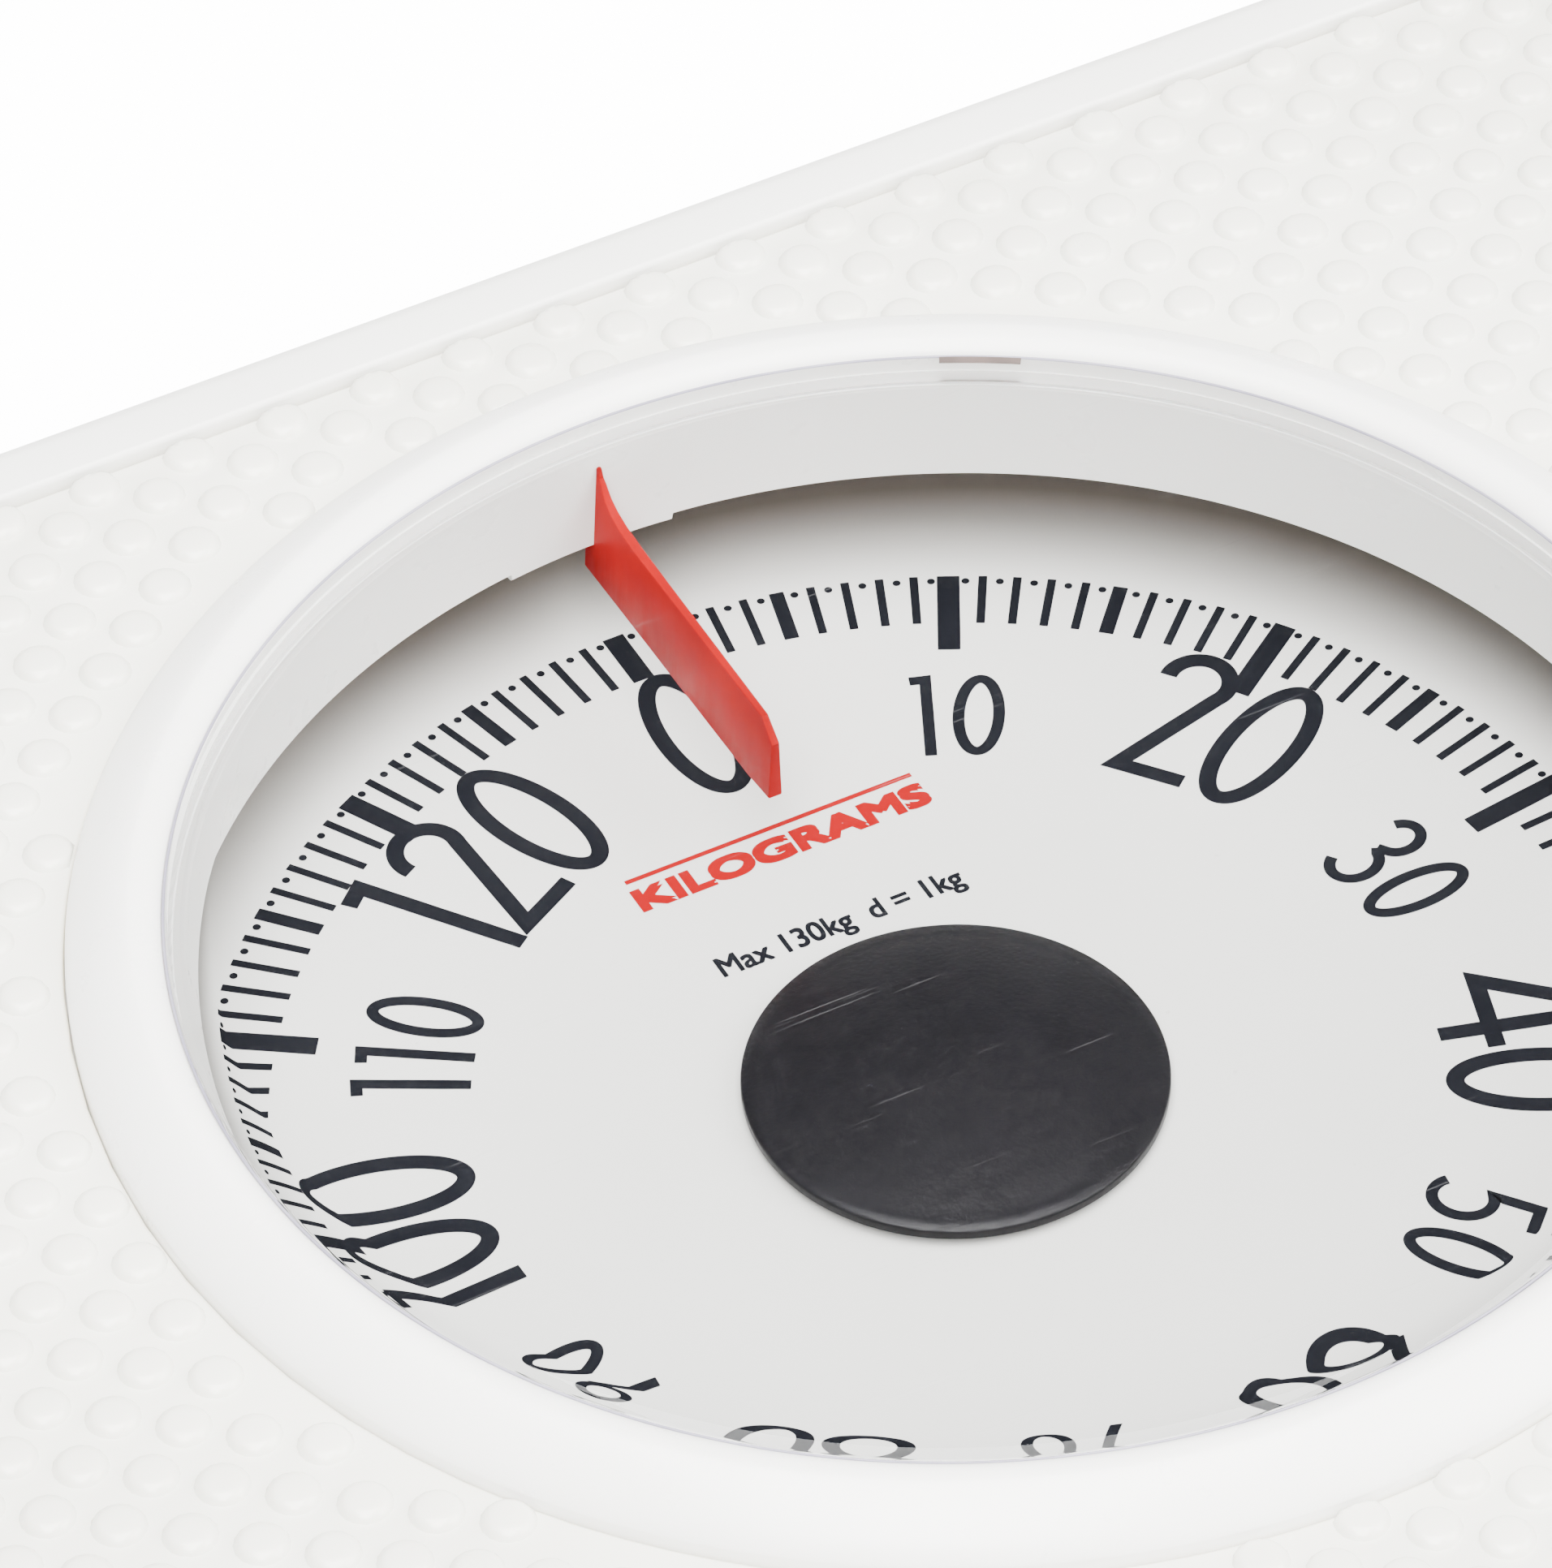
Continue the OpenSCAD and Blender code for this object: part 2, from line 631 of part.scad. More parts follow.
rack_low_y = dial_y - 54;
rack_high_y = rack_pin_y + 4;
rack_tip_x = pitch_r - 0.8 * gear_module;
rack_root_x = pitch_r + 1.15 * gear_module;
function rack_half(x) = (tooth_pitch / 2 - tooth_slack) / 2 + (x - pitch_r) * tan(20);
module rack() {
    boss_y = rack_pin_y;
    root_half = rack_half(rack_root_x);
    tip_half = rack_half(rack_tip_x);
    tooth_count = ceil((rack_travel + 6) / tooth_pitch);
    color(brass) difference() {
        union() {
            translate([0, 0, rack_z - 1.5]) linear_extrude(3) {
                translate([rack_root_x, rack_low_y])
                    square([rack_back - rack_root_x, rack_high_y - rack_low_y]);
                for (k = [0:tooth_count - 1]) translate([0, dial_y + (1.5 - k) * tooth_pitch])
                    polygon([[rack_root_x + 0.1, -root_half], [rack_root_x, -root_half],
                             [rack_tip_x, -tip_half], [rack_tip_x, tip_half],
                             [rack_root_x, root_half], [rack_root_x + 0.1, root_half]]);
            }
            translate([rack_root_x, boss_y - 4, rack_z - 3]) cube([rack_back - rack_root_x, 8, 6]);
        }
        translate([rack_back, boss_y, rack_z]) bar_x(1.25 + press, 20);
        translate([(pitch_r + rack_back) / 2, rack_low_y + 2.5, rack_z])
            cylinder(h = 6, r = 0.9, center = true);
    }
}

module rack_pin() {
    low = rack_root_x;
    high = crank_x + 2.4;
    color(steel) translate([(low + high) / 2, rack_pin_y, rack_z]) bar_x(1.25, high - low);
}

// Drawn with its arms square to the axes, then swung to its rest position
module bell_crank() {
    arm_r = crank_arm / cos(crank_swing);
    slot_half = 1.25 + 0.35;
    pin_r = 1.5;
    finger_top = -pin_r - gap;
    color(steel) translate([0, crank_y, crank_z]) rotate([crank_swing, 0, 0]) side_plate(crank_x, 2)
        difference() {
            union() {
                circle(5);
                translate([-4, 0]) square([8, arm_r + 2.4]);
                translate([0, finger_top - 2.5]) square([finger_arm + 3, 2.5]);
                polygon([[0, 5], [0, finger_top - 1], [6.5, finger_top - 1], [4, 3]]);
            }
            circle(2 + running);
            translate([-slot_half, crank_arm - 2.2]) square([2 * slot_half, 10]);
        }
}

// ---------- spring plate ----------

module spring_plate() {
    tab_x = crank_x + 3.2;
    color(steel) difference() {
        union() {
            translate([0, 0, plate_z]) linear_extrude(plate_t) {
                translate([-20, spring_y - 11]) square([40, 23.5]);
                translate([4, plate_pin_y - 3]) square([16, spring_y - 11 - plate_pin_y + 4]);
            }
            translate([-20, spring_y + 11.3, plate_z]) cube([40, 1.2, 6]);
            translate([tab_x - 1, plate_pin_y - 3, plate_pin_z - 3])
                cube([2, 5.5, plate_z - plate_pin_z + 4]);
        }
        translate([0, spring_y, 0]) cylinder(h = 60, r = 4.5);
        translate([tab_x, plate_pin_y, plate_pin_z]) bar_x(1.5 + press, 6);
    }
}

module plate_pin() {
    low = crank_x - 1.8;
    high = crank_x + 4.6;
    color(steel) translate([(low + high) / 2, plate_pin_y, plate_pin_z]) bar_x(1.5, high - low);
}

// ---------- levers ----------

// Bar on edge: the plan outline, cut to the side outline, with the fulcrum's bore
module lever_bar(plan, side_outline, y) {
    difference() {
        intersection() {
            linear_extrude(60) for (i = [0:len(plan) - 2]) strip(plan[i], plan[i + 1], lever_t);
            side_plate(lever_x / 2, 2 * lever_x + 60) polygon(side_outline);
        }
        translate([lever_x, y, lever_z]) bar_x(2.5 + press, 20);
    }
}

module long_lever() {
    plan = [[lever_x, -173], [lever_x, long_bend_y], [tip_x, tip_bend_y], [tip_x, spring_y + 8]];
    outline = [[-180, 15], [-60, 16.5], [tip_bend_y + 6, lever_nose + 2], [spring_y + 5, lever_nose + 2],
               [spring_y + 12, lever_nose + 4], [spring_y + 12, lever_nose + 8.5],
               [150, 39.5], [-60, 31], [-173, 28], [-180, 27]];
    lever_bar(plan, outline, -fulcrum_y);
    translate([tip_x, spring_y, lever_nose + 2]) bar_x(2, lever_t);
}
module long_lever_right() {
    color(steel) long_lever();
}
module long_lever_left() {
    color(steel) mirror([1, 0, 0]) long_lever();
}

module short_lever() {
    end_x = join_x + 10;
    plan = [[lever_x, 173], [lever_x, short_bend_y], [end_x, join_y + 2]];
    outline = [[180, 15], [short_bend_y, 16.5], [-30, 24], [-30, join_top + gap + 3], [20, join_top + 1],
               [60, 31], [173, 28], [180, 27]];
    lever_bar(plan, outline, fulcrum_y);
    translate([join_x - 4, join_y - 4, join_top + gap]) cube([end_x - join_x + 4, 8, lever_t]);
}
module short_lever_right() {
    color(steel) short_lever();
}
module short_lever_left() {
    color(steel) mirror([1, 0, 0]) short_lever();
}

module lever_pivot(sx, sy) {
    color(steel) translate([sx * lever_x, sy * fulcrum_y, lever_z]) bar_x(2.5, 13);
}
module long_pivot_left() {
    lever_pivot(-1, -1);
}
module long_pivot_right() {
    lever_pivot(1, -1);
}
module short_pivot_left() {
    lever_pivot(-1, 1);
}
module short_pivot_right() {
    lever_pivot(1, 1);
}

// ---------- zero adjustment ----------

module zero_wheel() {
    wheel_r = 22;
    wheel_t = 6;
    notches = 40;
    color(black) translate([0, spring_y, floor_z + 1]) difference() {
        cylinder(h = wheel_t, r = wheel_r);
        translate([0, 0, wheel_t - 1.5]) difference() {
            cylinder(h = 3, r = wheel_r - 4);
            cylinder(h = 3, r = 7);
        }
        translate([0, 0, -1]) cylinder(h = 10, r = 3 + press);
        for (k = [0:notches - 1]) rotate(360 * k / notches) translate([wheel_r + 0.5, 0, -1])
            cylinder(h = 10, r = 1.2, $fn = 16);
    }
}

module zero_screw() {
    color(steel) translate([0, spring_y, pan_z + 0.2]) cylinder(h = dial_z - disc_t - 2 - pan_z - 0.2, r = 3);
}

// Threaded plug that holds the top of the main spring
module hanger_nut() {
    top_z = dial_z - disc_t - 2.7;
    color(brass) translate([0, spring_y, 0]) difference() {
        union() {
            translate([0, 0, top_z - 3]) cylinder(h = 3, r = 11.4);
            translate([0, 0, top_z - 9]) cylinder(h = 9, r = 7.6);
        }
        cylinder(h = 80, r = 3 + running);
    }
}

base_pan();
rubber_feet();
fulcrum_brackets();
base_rivets();
crank_bracket();
crank_pin();
dial_bridge();
upper_bush();
step_bearing();
rack_guide();
spring_post();
screw_bush();
main_spring();
return_spring();
hold_down_springs();
pan_hooks();
platform_cover();
platform_mat();
bezel_ring();
lens();
pointer();
channel_left();
channel_right();
load_posts();
dial_disc();
dial_hub();
hub_cap();
dial_shaft();
pinion();
rack();
rack_pin();
bell_crank();
spring_plate();
plate_pin();
long_lever_left();
long_lever_right();
short_lever_left();
short_lever_right();
long_pivot_left();
long_pivot_right();
short_pivot_left();
short_pivot_right();
zero_wheel();
zero_screw();
hanger_nut();
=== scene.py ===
"""Visual model of a mechanical dial platform scale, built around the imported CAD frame.

Metres, +Z up, the same frame as the CAD: the origin is on the floor below the middle of the
platform, and the dial sits towards +Y. Lengths are in millimetres until they are built, but for
the camera's and the studio's, which are in metres.
"""

import json
import math

import bmesh
import bpy
from mathutils import Matrix, Vector


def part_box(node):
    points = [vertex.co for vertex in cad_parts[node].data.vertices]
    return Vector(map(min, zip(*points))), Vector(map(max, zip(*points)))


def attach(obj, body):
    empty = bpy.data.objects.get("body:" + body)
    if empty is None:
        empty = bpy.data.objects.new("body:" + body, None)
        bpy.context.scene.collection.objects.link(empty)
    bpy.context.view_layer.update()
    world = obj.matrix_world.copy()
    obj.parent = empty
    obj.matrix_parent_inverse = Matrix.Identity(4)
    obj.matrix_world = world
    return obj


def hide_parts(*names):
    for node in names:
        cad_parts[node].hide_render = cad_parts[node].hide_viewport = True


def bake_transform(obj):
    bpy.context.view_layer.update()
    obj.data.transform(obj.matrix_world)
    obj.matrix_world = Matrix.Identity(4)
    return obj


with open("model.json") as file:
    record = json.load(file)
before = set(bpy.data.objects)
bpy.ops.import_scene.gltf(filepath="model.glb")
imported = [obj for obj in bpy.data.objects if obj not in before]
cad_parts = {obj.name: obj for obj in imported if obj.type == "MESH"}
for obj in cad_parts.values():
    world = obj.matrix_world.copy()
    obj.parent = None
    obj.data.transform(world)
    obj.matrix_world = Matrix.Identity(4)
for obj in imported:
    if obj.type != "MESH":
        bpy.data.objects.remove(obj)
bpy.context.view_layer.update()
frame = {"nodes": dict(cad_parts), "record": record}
nodes = frame["nodes"]

MM = 0.001
TAU = 2 * math.pi

# ---------------------------------------------------------------- camera

SENSOR_MM = 36
FOCAL_MM = 245.981
AZIMUTH, ELEVATION, ROLL = (math.radians(a) for a in (-26.26, 43.78, -1.96))
AIM = Vector((0.0036, 0.1417, 0.05208))
DISTANCE = 0.8766


def make_camera():
    """Long lens from the left of the near end, looking down at the dial."""
    forward = Vector((-math.sin(AZIMUTH) * math.cos(ELEVATION),
                      math.cos(AZIMUTH) * math.cos(ELEVATION), -math.sin(ELEVATION)))
    level = forward.cross(Vector((0, 0, 1))).normalized()
    upright = level.cross(forward)
    right = math.cos(ROLL) * level + math.sin(ROLL) * upright
    up = math.cos(ROLL) * upright - math.sin(ROLL) * level
    data = bpy.data.cameras.new("camera")
    data.sensor_fit = "VERTICAL"
    data.sensor_height = SENSOR_MM
    data.lens = FOCAL_MM
    data.clip_start = 0.01
    camera = bpy.data.objects.new("camera", data)
    rotation = Matrix((right, up, -forward)).transposed().to_4x4()
    camera.matrix_world = Matrix.Translation(AIM - DISTANCE * forward) @ rotation
    bpy.context.scene.collection.objects.link(camera)
    bpy.context.scene.camera = camera


make_camera()

# ---------------------------------------------------------------- sizes taken from the CAD

cover_low, cover_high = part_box("platform_cover")
lens_low, lens_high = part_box("lens")
disc_low, disc_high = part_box("dial_disc")
bezel_low, bezel_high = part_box("bezel_ring")
mat_low, mat_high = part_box("platform_mat")
cap_low, cap_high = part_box("hub_cap")

DIAL_Y = (disc_low.y + disc_high.y) / 2 / MM
FACE_Z = disc_high.z / MM
LENS_R = (lens_high.x - lens_low.x) / 2 / MM
LENS_TOP = lens_high.z / MM
LENS_EDGE = 3.2
LENS_Z = LENS_TOP - LENS_EDGE
BEZEL_R = (bezel_high.x - bezel_low.x) / 2 / MM
CREST_Z = bezel_high.z / MM
CAP_R = (cap_high.x - cap_low.x) / 2 / MM
CAP_TOP = cap_high.z / MM
HALF_W = cover_high.x / MM
HALF_L = cover_high.y / MM
RIM_Z = cover_high.z / MM
SKIRT_Z = cover_low.z / MM
MAT_TOP = round(mat_high.z / MM, 3)
SEAT_Z = round(mat_low.z / MM, 3)
# play between the window and the bezel's lip
LENS_PLAY = 0.03
# the platform's corner radius and the width of its rim
CORNER_R = 33
RIM_W = 6.5
# the dial well's radius and the height at which its wall ends
WELL_R = 61.2
WALL_LOW = 61
# radius of the circle that the dial's ticks reach; the dial's print is drawn in units of it
R0 = 60
# the mat's pips and the sheet that they rise from
PIP_RISE = 0.76
SHEET_Z = MAT_TOP - PIP_RISE

# ---------------------------------------------------------------- node materials


class Graph:
    """Small helper around a material's node tree."""

    def __init__(self, name):
        self.material = bpy.data.materials.new(name)
        self.material.use_nodes = True
        self.tree = self.material.node_tree
        self.tree.nodes.clear()
        self.out = self.node("ShaderNodeOutputMaterial")
        self.where = self.node("ShaderNodeTexCoord").outputs["Object"]

    def node(self, kind, **settings):
        made = self.tree.nodes.new(kind)
        for key, value in settings.items():
            setattr(made, key, value)
        return made

    def link(self, source, target):
        self.tree.links.new(source, target)

    def noise(self, scale, detail=3.0, rough=0.5, stretch=(1, 1, 1), turn=0.0):
        """Noise whose scale is in features per metre; stretch and turn draw it out in lines."""
        mapping = self.node("ShaderNodeMapping")
        mapping.inputs["Scale"].default_value = stretch
        mapping.inputs["Rotation"].default_value = (0, 0, turn)
        self.link(self.where, mapping.inputs["Vector"])
        made = self.node("ShaderNodeTexNoise")
        made.inputs["Scale"].default_value = scale
        made.inputs["Detail"].default_value = detail
        made.inputs["Roughness"].default_value = rough
        self.link(mapping.outputs["Vector"], made.inputs["Vector"])
        return made.outputs["Fac"]

    def spread(self, value, low, high, to_low, to_high):
        made = self.node("ShaderNodeMapRange")
        for key, number in zip(("From Min", "From Max", "To Min", "To Max"),
                               (low, high, to_low, to_high)):
            made.inputs[key].default_value = number
        self.link(value, made.inputs["Value"])
        return made.outputs["Result"]

    def mix(self, factor, a, b):
        """Mixes two colours, each a tuple or a socket."""
        made = self.node("ShaderNodeMix", data_type="RGBA")
        self.link(factor, made.inputs["Factor"])
        for key, colour in (("A", a), ("B", b)):
            socket = next(s for s in made.inputs if s.name == key and s.type == "RGBA")
            if isinstance(colour, bpy.types.NodeSocket):
                self.link(colour, socket)
            else:
                socket.default_value = (*colour, 1)
        return next(s for s in made.outputs if s.type == "RGBA")

    def maths(self, operation, a, b):
        made = self.node("ShaderNodeMath", operation=operation)
        for socket, value in zip(made.inputs, (a, b)):
            if isinstance(value, bpy.types.NodeSocket):
                self.link(value, socket)
            else:
                socket.default_value = value
        return made.outputs[0]

    def height(self):
        """Height above the floor, for pieces built in the shared frame."""
        made = self.node("ShaderNodeSeparateXYZ")
        self.link(self.where, made.inputs[0])
        return made.outputs["Z"]

    def radius(self, centre):
        """Distance from the upright line through a point."""
        moved = self.node("ShaderNodeVectorMath", operation="SUBTRACT")
        self.link(self.where, moved.inputs[0])
        moved.inputs[1].default_value = centre
        flat = self.node("ShaderNodeVectorMath", operation="MULTIPLY")
        self.link(moved.outputs[0], flat.inputs[0])
        flat.inputs[1].default_value = (1, 1, 0)
        made = self.node("ShaderNodeVectorMath", operation="LENGTH")
        self.link(flat.outputs[0], made.inputs[0])
        return made.outputs["Value"]

    def bump(self, height, strength, depth, under=None):
        made = self.node("ShaderNodeBump")
        made.inputs["Strength"].default_value = strength
        made.inputs["Distance"].default_value = depth
        self.link(height, made.inputs["Height"])
        if under is not None:
            self.link(under, made.inputs["Normal"])
        return made.outputs["Normal"]

    def principled(self, colour, rough, normal, **constants):
        made = self.node("ShaderNodeBsdfPrincipled")
        self.link(colour, made.inputs["Base Color"])
        self.link(rough, made.inputs["Roughness"])
        if normal is not None:
            self.link(normal, made.inputs["Normal"])
        for key, value in constants.items():
            made.inputs[key.replace("_", " ")].default_value = value
        return made.outputs["BSDF"]

    def finish(self, shader):
        self.link(shader, self.out.inputs["Surface"])
        return self.material


def surface(name, light, dark, rough, grain=900, grain_depth=0.00002, patch=60, strength=0.3,
            stretch=(1, 1, 1), dirt=None, **constants):
    """General finish: two close colours in soft patches, fine grain in bump, uneven roughness."""
    g = Graph(name)
    colour = g.mix(g.spread(g.noise(patch, 4), 0.35, 0.65, 0, 1), light, dark)
    if dirt is not None:
        specks = g.spread(g.noise(patch * 7, 6, 0.65), 0.62, 0.74, 0, 0.35)
        colour = g.mix(specks, colour, dirt)
    fine = g.noise(grain, 4, 0.6, stretch)
    roughness = g.spread(g.noise(patch * 3, 5, 0.6), 0.3, 0.7, rough[0], rough[1])
    normal = g.bump(fine, strength, grain_depth)
    return g.finish(g.principled(colour, roughness, normal, **constants))


def white_paint():
    return surface("white_enamel", (0.78, 0.78, 0.76), (0.75, 0.75, 0.73), (0.26, 0.38),
                   grain=420, grain_depth=0.00003, patch=30, strength=0.25,
                   dirt=(0.66, 0.65, 0.60), IOR=1.5, Coat_Weight=0.1, Coat_Roughness=0.2)


def moulded_white():
    return surface("moulded_white", (0.87, 0.87, 0.855), (0.84, 0.84, 0.825), (0.25, 0.36),
                   grain=700, grain_depth=0.00001, patch=45, strength=0.2,
                   IOR=1.49, Subsurface_Weight=0.06, Subsurface_Scale=0.002)


def cream_vinyl():
    g = Graph("cream_vinyl")
    colour = g.mix(g.spread(g.noise(38, 4), 0.35, 0.65, 0, 1),
                   (0.755, 0.75, 0.692), (0.72, 0.715, 0.655))
    stains = g.spread(g.noise(150, 6, 0.7), 0.64, 0.80, 0, 0.25)
    colour = g.mix(stains, colour, (0.68, 0.65, 0.56))
    # Yellow-brown on the mat's edges below the sheet's top, in the crevices by the rim and the bezel:
    # a yellowish tint, partly painted crevice shade.
    edge = g.spread(g.height(), (SHEET_Z - 0.6) * MM, (SHEET_Z - 0.04) * MM, 0.8, 0)
    colour = g.mix(edge, colour, (0.56, 0.49, 0.32))
    rough = g.spread(g.noise(400, 5, 0.65), 0.3, 0.7, 0.19, 0.28)
    fine = g.bump(g.noise(2600, 3, 0.6), 0.35, 0.00002)
    normal = g.bump(g.noise(160, 3, 0.5), 0.25, 0.0002, fine)
    return g.finish(g.principled(colour, rough, normal, IOR=1.5,
                                 Subsurface_Weight=0.05, Subsurface_Scale=0.002))


def dial_enamel():
    g = Graph("dial_enamel")
    colour = g.mix(g.spread(g.noise(25, 3), 0.35, 0.65, 0, 1),
                   (0.68, 0.68, 0.665), (0.655, 0.655, 0.64))
    specks = g.spread(g.noise(1300, 2, 0.5), 0.74, 0.80, 0, 0.4)
    colour = g.mix(specks, colour, (0.45, 0.44, 0.42))
    axis = nodes["dial_disc"].matrix_world.inverted() @ Vector((0, DIAL_Y * MM, FACE_Z * MM))
    # Painted shade: the dial darkens to brown from R0 outwards, where the well's wall shades it.
    painted_wall_shade = g.spread(g.radius(axis), R0 * MM, 1.18 * R0 * MM, 0, 0.9)
    colour = g.mix(painted_wall_shade, colour, (0.145, 0.112, 0.088))
    rough = g.spread(g.noise(300, 4, 0.6), 0.3, 0.7, 0.40, 0.50)
    normal = g.bump(g.noise(1500, 3, 0.5), 0.15, 0.00001)
    return g.finish(g.principled(colour, rough, normal, IOR=1.45))


def printed_ink(name, colour, worn):
    """Screen-printed ink with slight wear."""
    g = Graph(name)
    wear = g.spread(g.noise(900, 5, 0.7, (1, 0.25, 1), 0.6), 0.62, 0.80, 0, 0.3)
    shade = g.mix(wear, colour, worn)
    rough = g.spread(g.noise(700, 4, 0.6), 0.3, 0.7, 0.35, 0.5)
    normal = g.bump(g.noise(2400, 3, 0.5), 0.2, 0.00001)
    return g.finish(g.principled(shade, rough, normal, IOR=1.45, Specular_IOR_Level=0.03))


def clear_lens():
    """Clear moulded plastic with hairline scratches and a little dust; lamps shine through it."""
    g = Graph("clear_lens")
    tint = g.mix(g.noise(30, 2), (0.985, 0.99, 1.0), (0.97, 0.98, 1.0))
    hair = None
    for turn, scale in ((0.4, 2400), (1.3, 3000), (2.2, 2000)):
        lines = g.noise(scale, 2, 0.5, (0.02, 1, 1), turn)
        one = g.spread(lines, 0.74, 0.78, 0, 1)
        hair = one if hair is None else g.maths("MAXIMUM", hair, one)
    dust = g.spread(g.noise(2600, 3, 0.55), 0.76, 0.80, 0, 1)
    marks = g.maths("MULTIPLY", g.maths("MAXIMUM", hair, dust), 0.035)
    rough = g.spread(g.noise(200, 3, 0.6), 0.4, 0.8, 0.0, 0.012)
    normal = g.bump(g.noise(90, 2, 0.5), 0.05, 0.0001)
    glass = g.principled(tint, rough, normal, Transmission_Weight=1.0, IOR=1.49)
    haze = g.node("ShaderNodeBsdfDiffuse")
    haze.inputs["Color"].default_value = (0.8, 0.8, 0.82, 1)
    marked = g.node("ShaderNodeMixShader")
    g.link(marks, marked.inputs[0])
    g.link(glass, marked.inputs[1])
    g.link(haze.outputs[0], marked.inputs[2])
    path = g.node("ShaderNodeLightPath")
    clear = g.node("ShaderNodeBsdfTransparent")
    clear.inputs["Color"].default_value = (0.81, 0.81, 0.805, 1)
    through = g.maths("MAXIMUM", path.outputs["Is Shadow Ray"], path.outputs["Is Diffuse Ray"])
    mixed = g.node("ShaderNodeMixShader")
    g.link(through, mixed.inputs[0])
    g.link(marked.outputs[0], mixed.inputs[1])
    g.link(clear.outputs[0], mixed.inputs[2])
    return g.finish(mixed.outputs[0])


def red_plastic():
    g = Graph("red_plastic")
    colour = g.mix(g.spread(g.noise(120, 4), 0.35, 0.65, 0, 1),
                   (0.32, 0.003, 0.004), (0.25, 0.002, 0.003))
    rough = g.spread(g.noise(600, 5, 0.6, (1, 1, 0.2)), 0.3, 0.7, 0.28, 0.42)
    normal = g.bump(g.noise(500, 4, 0.6, (1, 0.2, 1)), 0.2, 0.00003)
    return g.finish(g.principled(colour, rough, normal, IOR=1.49, Specular_IOR_Level=0.03,
                                 Subsurface_Weight=0.10,
                                 Subsurface_Scale=0.002, Subsurface_Radius=(1.0, 0.15, 0.12)))


def black_cap():
    g = Graph("black_cap")
    colour = g.mix(g.spread(g.noise(70, 4), 0.35, 0.65, 0, 1),
                   (0.0022, 0.0020, 0.0030), (0.0042, 0.0039, 0.0050))
    scuff = g.spread(g.noise(350, 5, 0.7, (1, 0.3, 1), 0.5), 0.66, 0.80, 0, 0.12)
    colour = g.mix(scuff, colour, (0.05, 0.05, 0.056))
    rough = g.spread(g.noise(900, 3, 0.5), 0.3, 0.7, 0.30, 0.42)
    normal = g.bump(g.noise(2200, 3, 0.5), 0.55, 0.00006)
    return g.finish(g.principled(colour, rough, normal, IOR=1.5, Specular_IOR_Level=0.14))


def metal(name, light, dark, rough, stretch=(1, 1, 1), dirt=(0.25, 0.22, 0.18)):
    return surface(name, light, dark, rough, grain=1200, grain_depth=0.00002, patch=45,
                   strength=0.25, stretch=stretch, dirt=dirt, Metallic=1.0)


def rubber():
    return surface("black_rubber", (0.022, 0.022, 0.023), (0.034, 0.033, 0.032), (0.62, 0.8),
                   grain=1500, grain_depth=0.00006, patch=120, strength=0.5,
                   dirt=(0.12, 0.115, 0.10))


finish_of = {
    "white_paint": white_paint(),
    "cream_vinyl": cream_vinyl(),
    "white_plastic": moulded_white(),
    "clear_plastic": clear_lens(),
    "red_plastic": red_plastic(),
    "dial_face": dial_enamel(),
    "cap_plastic": black_cap(),
    "black_plastic": surface("black_moulded", (0.030, 0.030, 0.032), (0.042, 0.041, 0.043),
                             (0.38, 0.52), grain=1400, grain_depth=0.00004, patch=90,
                             strength=0.4, IOR=1.5),
    "rubber": rubber(),
    "zinc_steel": metal("zinc_steel", (0.62, 0.63, 0.64), (0.50, 0.51, 0.53), (0.30, 0.45)),
    "lever_steel": metal("lever_steel", (0.46, 0.47, 0.49), (0.36, 0.37, 0.39), (0.34, 0.50),
                         stretch=(1, 0.15, 1)),
    "spring_steel": metal("spring_steel", (0.40, 0.41, 0.44), (0.30, 0.31, 0.34), (0.22, 0.34)),
    "rivet_steel": metal("rivet_steel", (0.60, 0.60, 0.61), (0.48, 0.48, 0.50), (0.24, 0.38)),
    "brass": metal("brass", (0.72, 0.53, 0.24), (0.60, 0.43, 0.19), (0.24, 0.38),
                   dirt=(0.22, 0.15, 0.07)),
}
# Painted seam shade: a grey-violet bead stands for the dark line in the seam round the window.
painted_seam_shade = surface("painted_seam_shade", (0.20, 0.19, 0.25), (0.28, 0.27, 0.33), (0.35, 0.5),
                    patch=90, strength=0.2)
lug_brown = surface("lug_brown", (0.11, 0.080, 0.072), (0.07, 0.052, 0.048), (0.4, 0.55),
                    patch=200, strength=0.4)
black_ink = printed_ink("black_ink", (0.0050, 0.0055, 0.0080), (0.04, 0.042, 0.05))
red_ink = printed_ink("red_ink", (0.27, 0.0015, 0.004), (0.45, 0.10, 0.10))

# ---------------------------------------------------------------- meshes


def build(name, points, faces, finish, body, sharp, stands_for=()):
    """Makes a piece from millimetre points, shades it smooth but for sharp edges, and lets it ride."""
    mesh = bpy.data.meshes.new(name)
    mesh.from_pydata([tuple(c * MM for c in p) for p in points], [], faces)
    cleaner = bmesh.new()
    cleaner.from_mesh(mesh)
    bmesh.ops.remove_doubles(cleaner, verts=cleaner.verts, dist=1e-7)
    bmesh.ops.dissolve_degenerate(cleaner, edges=cleaner.edges, dist=1e-8)
    bmesh.ops.recalc_face_normals(cleaner, faces=cleaner.faces)
    cleaner.to_mesh(mesh)
    cleaner.free()
    return place(name, mesh, finish, body, sharp, stands_for)


def place(name, mesh, finish, body, sharp=35, stands_for=()):
    """Adds a mesh as a piece, and lets it ride on its body if it has one."""
    mesh.shade_smooth()
    mesh.set_sharp_from_angle(angle=math.radians(sharp))
    piece = bpy.data.objects.new(name, mesh)
    bpy.context.scene.collection.objects.link(piece)
    mesh.materials.append(finish)
    if stands_for:
        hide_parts(*stands_for)
    if body:
        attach(piece, body)
    return piece


def arc(x, z, rx, rz, start, end, steps):
    """Points on an ellipse from one angle to another, in degrees from the +x side."""
    return [(x + rx * math.cos(math.radians(start + (end - start) * i / steps)),
             z + rz * math.sin(math.radians(start + (end - start) * i / steps)))
            for i in range(steps + 1)]


